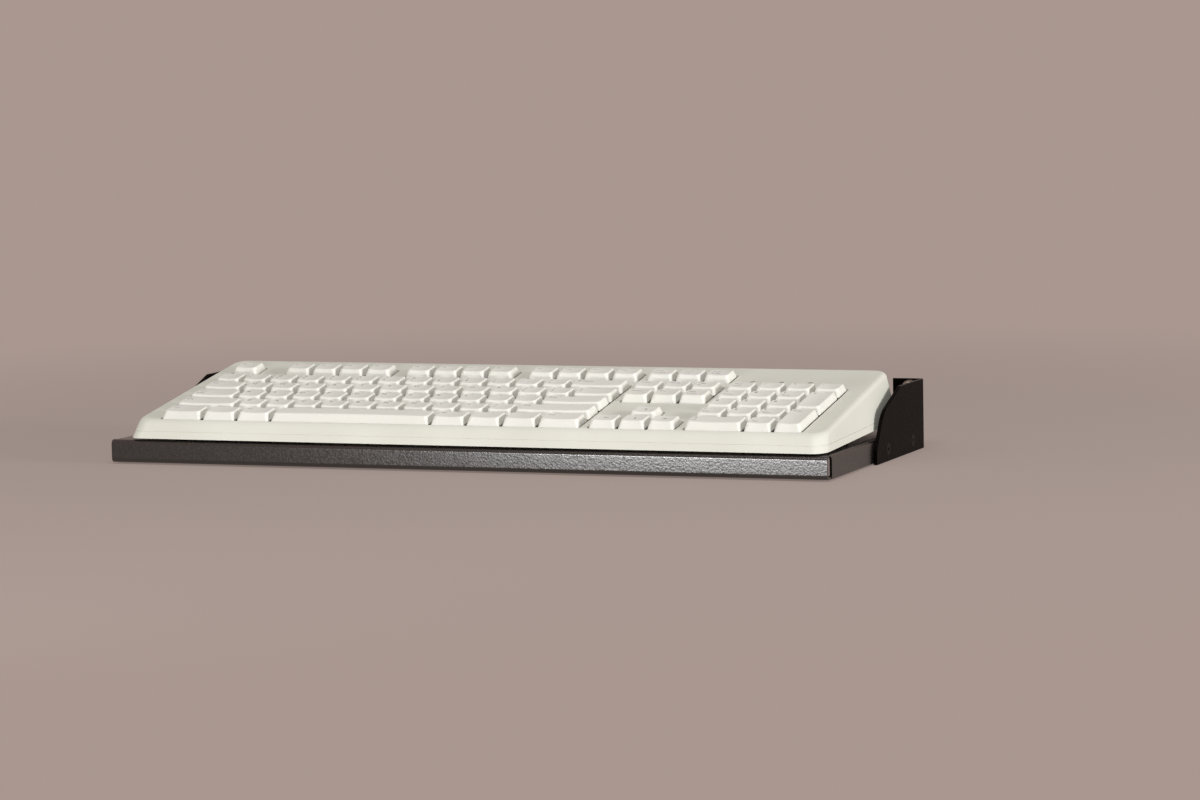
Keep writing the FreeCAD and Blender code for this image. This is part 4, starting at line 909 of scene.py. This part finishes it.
def cap_skin(table, width, depth, rounding, dish):
    """A hollow key cap with its plunger. From the pole of the dished top outward, over a
    quarter-round edge, down the tapered sides to the foot, up the inside and down the plunger;
    each level is a rounded rectangle and hangs below the dished top by its own drop."""
    height = CAP_TOP - CAP_FOOT
    half = width / 2 - SIDE_TAPER
    rows = []

    def level(inset, share, drop, radius, fixed=None):
        """One ring at a share of the height over the foot, inset from the tapered side: below
        the dished top by the drop, or at a fixed height."""
        left = -width / 2 + SIDE_TAPER * share + inset
        near = -depth / 2 + FRONT_TAPER * share + inset
        far = depth / 2 - BACK_TAPER * share - inset
        x, y = ring(table, left, -left, near, far, radius)
        z = cap_top_height(x, half, dish) - drop if fixed is None else fixed + 0 * x
        rows.append(np.stack([x, y, z], axis=-1))

    middle = (FRONT_TAPER - BACK_TAPER) / 2
    core_x, core_y = half - rounding, (depth - FRONT_TAPER - BACK_TAPER) / 2 - rounding
    for share in DISH_RINGS:
        x, y = ring(table, -core_x * share, core_x * share, middle - core_y * share,
                    middle + core_y * share, DISH_CORNER * share)
        rows.append(np.stack([x, y, cap_top_height(x, half, dish)], axis=-1))
    for angle in np.radians(np.linspace(0, 90, 5)):
        inset = rounding * (1 - math.sin(angle))
        drop = rounding * (1 - math.cos(angle))
        level(inset, 1 - drop / height, drop, TOP_CORNER - inset)
    ceiling = CAP_TOP - CAP_WALL - DISH_DEPTH
    level(0, WAIST_SHARE, height * (1 - WAIST_SHARE), WAIST_CORNER)
    level(0, FOOT_SHARE, 0, FOOT_CORNER, CAP_FOOT + FOOT_EDGE)
    level(FOOT_INSET, 0, 0, FOOT_TIP_CORNER, CAP_FOOT)
    level(CAP_WALL, 0, 0, INNER_CORNER, CAP_FOOT)
    level(CAP_WALL, 1 - CAP_WALL / height, 0, INNER_CORNER, ceiling)
    for z, radius in ((ceiling, PLUNGER_RADIUS), (PLUNGER_TIP + PLUNGER_EDGE, PLUNGER_RADIUS),
                      (PLUNGER_TIP, PLUNGER_RADIUS - PLUNGER_EDGE)):
        x, y = ring(table, -radius, radius, -radius, radius, radius)
        rows.append(np.stack([x, y, z + 0 * x], axis=-1))
    return loft(np.stack(rows))


def word_skin(word, size):
    """Letters as a thin closed slab in millimetres, whose left foot is the origin. The text is
    a mesh before it gets any place."""
    curve = bpy.data.curves.new("word", "FONT")
    curve.body = word
    curve.size = size
    curve.extrude = INK_HALF
    curve.resolution_u = 2
    thing = bpy.data.objects.new("word", curve)
    bpy.context.scene.collection.objects.link(thing)
    graph = bpy.context.evaluated_depsgraph_get()
    mesh = bpy.data.meshes.new_from_object(thing.evaluated_get(graph))
    points = np.empty(len(mesh.vertices) * 3)
    mesh.vertices.foreach_get("co", points)
    faces = [list(face.vertices) for face in mesh.polygons]
    bpy.data.meshes.remove(mesh)
    bpy.data.objects.remove(thing)
    bpy.data.curves.remove(curve)
    return points.reshape(-1, 3), faces


def arrow_skin(degrees):
    """A plain arrow as a thin closed slab about the origin, turned from pointing right."""
    angle = math.radians(degrees)
    spin = np.array([[math.cos(angle), math.sin(angle)], [-math.sin(angle), math.cos(angle)]])
    flat = np.array(ARROW_SHAPE) @ spin
    levels = [np.column_stack([flat, np.full(len(flat), level)]) for level in (-INK_HALF, INK_HALF)]
    return loft(np.stack(levels), "lid", "lid")


def legend_skins(text, width, depth, size, dish):
    """The words of one cap, laid on its top from the far left corner, one under the other, or
    its arrow: each point rises by the height of the dished surface under it."""
    half = width / 2 - SIDE_TAPER
    skins = []
    if text in ARROW_TURNS:
        points, faces = arrow_skin(ARROW_TURNS[text])
        points[:, :2] += ARROW_SPOT
        skins.append((points, faces))
    else:
        words = text.split(" ")
        for number, word in enumerate(words):
            share = 1.0 if len(words) == 1 else SIGN_SHARE
            if len(word) > 1:
                share = WORD_SHARE
            points, faces = word_skin(word, size * share)
            if len(word) > 1:
                room = (2 * half - WORD_MARGINS) / np.ptp(points[:, 0])
                points[:, :2] *= min(1.0, room)
            points[:, 0] += LEFT_MARGIN - half - points[:, 0].min()
            points[:, 1] += depth / 2 - BACK_TAPER - FAR_MARGIN
            points[:, 1] -= (LETTER_RISE + number * LINE_SPACING) * size
            skins.append((points, faces))
    for points, faces in skins:
        points[:, 2] += cap_top_height(points[:, 0], half, dish)
    return skins


class SHELF_OT_keys(Operator):
    """All key caps: dished tops, soft edges, hollow insides, plungers and printed words."""
    bl_idname = "shelf.keys"
    bl_label = "Key caps"

    def execute(self, context):
        settings = context.scene.shelf_keyboard
        plastic = moulded_plastic("ivory_abs_caps", settings.cap_low, settings.cap_high,
                                  grain=0.35, depth=0.03, roughness=0.42)
        ink = printed_ink("legend_ink", settings.ink, "#8B8A84")
        table = outline(arc=5, run=6)
        for node, words in LEGENDS.items():
            low, high = deck_box(node)
            skins = []
            for number, text in enumerate(words):
                start = low[0] + number * PITCH
                end = high[0] if number == len(words) - 1 else start + PITCH - KEY_GAP
                spot = np.array([(start + end) / 2, (low[1] + high[1]) / 2, 0.0])
                width, depth = end - start, high[1] - low[1]
                dish = DISH_DEPTH if width < CROWNED_WIDTH else -CROWN_HEIGHT
                points, faces = outward(*cap_skin(table, width, depth, settings.cap_round, dish))
                skins.append((from_deck(points + spot), faces, 0))
                if text:
                    for points, faces in legend_skins(text, width, depth, settings.word_size, dish):
                        points, faces = outward(points, faces)
                        skins.append((from_deck(points + spot), faces, 1))
            piece = smooth(make_piece(node + "_caps", skins))
            fit(piece, node, node, [plastic, ink])
        return {"FINISHED"}


class SHELF_OT_stage(Operator):
    """Pale floor and backdrop, soft light and the camera."""
    bl_idname = "shelf.stage"
    bl_label = "Stage"

    def execute(self, context):
        settings = context.scene.shelf_stage
        context.scene.view_settings.view_transform = "Standard"
        self.floor(context.scene, painted_board(settings))
        for name, spot, size, power in LAMPS:
            self.lamp(context.scene, name, spot, size, getattr(settings, power))
        self.room(context.scene, settings)
        self.camera(context.scene)
        return {"FINISHED"}

    def floor(self, scene, material):
        """A floor that bends up into a backdrop: a quarter circle between two planes, carried
        from side to side."""
        turn = np.radians(np.linspace(0, 90, 25))
        along = np.concatenate([[FLOOR_FRONT], FLOOR_REAR + FLOOR_BEND * np.sin(turn),
                                [FLOOR_REAR + FLOOR_BEND]])
        up = np.concatenate([[0.0], FLOOR_BEND * (1 - np.cos(turn)), [BACKDROP_TOP]]) + CAD_BOX[0][2]
        sides = [np.stack([np.full(len(along), side), along, up], axis=-1)
                 for side in (-FLOOR_HALF, FLOOR_HALF)]
        rows = np.arange(len(along) - 1)[:, None] * 2
        mesh = bpy.data.meshes.new("floor")
        mesh.from_pydata(np.stack(sides, axis=1).reshape(-1, 3).tolist(), [],
                         (rows + np.array([[0, 1, 3, 2]])).tolist())
        mesh.shade_smooth()
        mesh.materials.append(material)
        floor = bpy.data.objects.new("floor", mesh)
        scene.collection.objects.link(floor)

    def lamp(self, scene, name, spot, size, power):
        """A soft rectangular lamp that is aimed at the object and isn't seen itself."""
        lamp = bpy.data.lights.new(name, "AREA")
        lamp.shape = "RECTANGLE"
        lamp.size, lamp.size_y = size
        lamp.energy = power
        thing = bpy.data.objects.new(name, lamp)
        thing.location = spot
        aim = Vector(LAMP_AIM) - Vector(spot)
        thing.rotation_euler = aim.to_track_quat("-Z", "Y").to_euler()
        thing.visible_camera = False
        scene.collection.objects.link(thing)

    def room(self, scene, settings):
        """Even light from all sides, which shows as the backdrop's colour."""
        world = bpy.data.worlds.new("room")
        scene.world = world
        world.use_nodes = True
        tree = world.node_tree
        light = [settings.sky * part for part in linear(ROOM_COLOUR)[:3]]
        sky = add_node(tree, "ShaderNodeMix", {"data_type": "RGBA"},
                       {FIRST: (*light, 1.0), SECOND: linear(settings.backdrop)},
                       {SHARE: seen_directly(tree)})
        tree.links.new(sky.outputs[RESULT], tree.nodes["Background"].inputs["Color"])

    def camera(self, scene):
        """A long lens, a little above and to the right, as the picture was taken."""
        lens = bpy.data.cameras.new("camera")
        lens.lens = LENS
        lens.sensor_width = SENSOR
        lens.sensor_fit = "HORIZONTAL"
        lens.clip_end = FARTHEST_SEEN
        eye = bpy.data.objects.new("camera", lens)
        turn = Matrix(EYE_AXES).transposed()
        eye.matrix_world = Matrix.Translation(Vector(EYE_PLACE)) @ turn.to_4x4()
        scene.collection.objects.link(eye)
        scene.camera = eye


class SHELF_PT_panel(Panel):
    """Lists the settings and the steps."""
    bl_idname = "SHELF_PT_panel"
    bl_label = "Rack keyboard shelf"
    bl_space_type = "VIEW_3D"
    bl_region_type = "UI"
    bl_category = "Shelf"

    def draw(self, context):
        for group in GROUPS:
            settings = getattr(context.scene, group)
            for name in settings.__annotations__:
                self.layout.prop(settings, name)
        for step in STEPS:
            self.layout.operator(step.bl_idname)


STEPS = (SHELF_OT_stage, SHELF_OT_tray, SHELF_OT_brackets, SHELF_OT_fasteners, SHELF_OT_top_case,
         SHELF_OT_lower_case, SHELF_OT_inside, SHELF_OT_keys)
GROUPS = {"shelf_metal": ShelfSettings, "shelf_keyboard": KeyboardSettings, "shelf_stage": StageSettings}


def register():
    """Makes the settings, the steps and the panel known to Blender."""
    for name, group in GROUPS.items():
        bpy.utils.register_class(group)
        setattr(bpy.types.Scene, name, PointerProperty(type=group))
    for step in STEPS:
        bpy.utils.register_class(step)
    bpy.utils.register_class(SHELF_PT_panel)


def unregister():
    """Takes them out again, in the opposite order."""
    bpy.utils.unregister_class(SHELF_PT_panel)
    for step in reversed(STEPS):
        bpy.utils.unregister_class(step)
    for name, group in GROUPS.items():
        delattr(bpy.types.Scene, name)
        bpy.utils.unregister_class(group)


def main():
    """Makes the stage and then the pieces."""
    register()
    bpy.ops.shelf.stage()
    bpy.ops.shelf.tray()
    bpy.ops.shelf.brackets()
    bpy.ops.shelf.fasteners()
    bpy.ops.shelf.top_case()
    bpy.ops.shelf.lower_case()
    bpy.ops.shelf.inside()
    bpy.ops.shelf.keys()


if __name__ == "__main__":
    main()
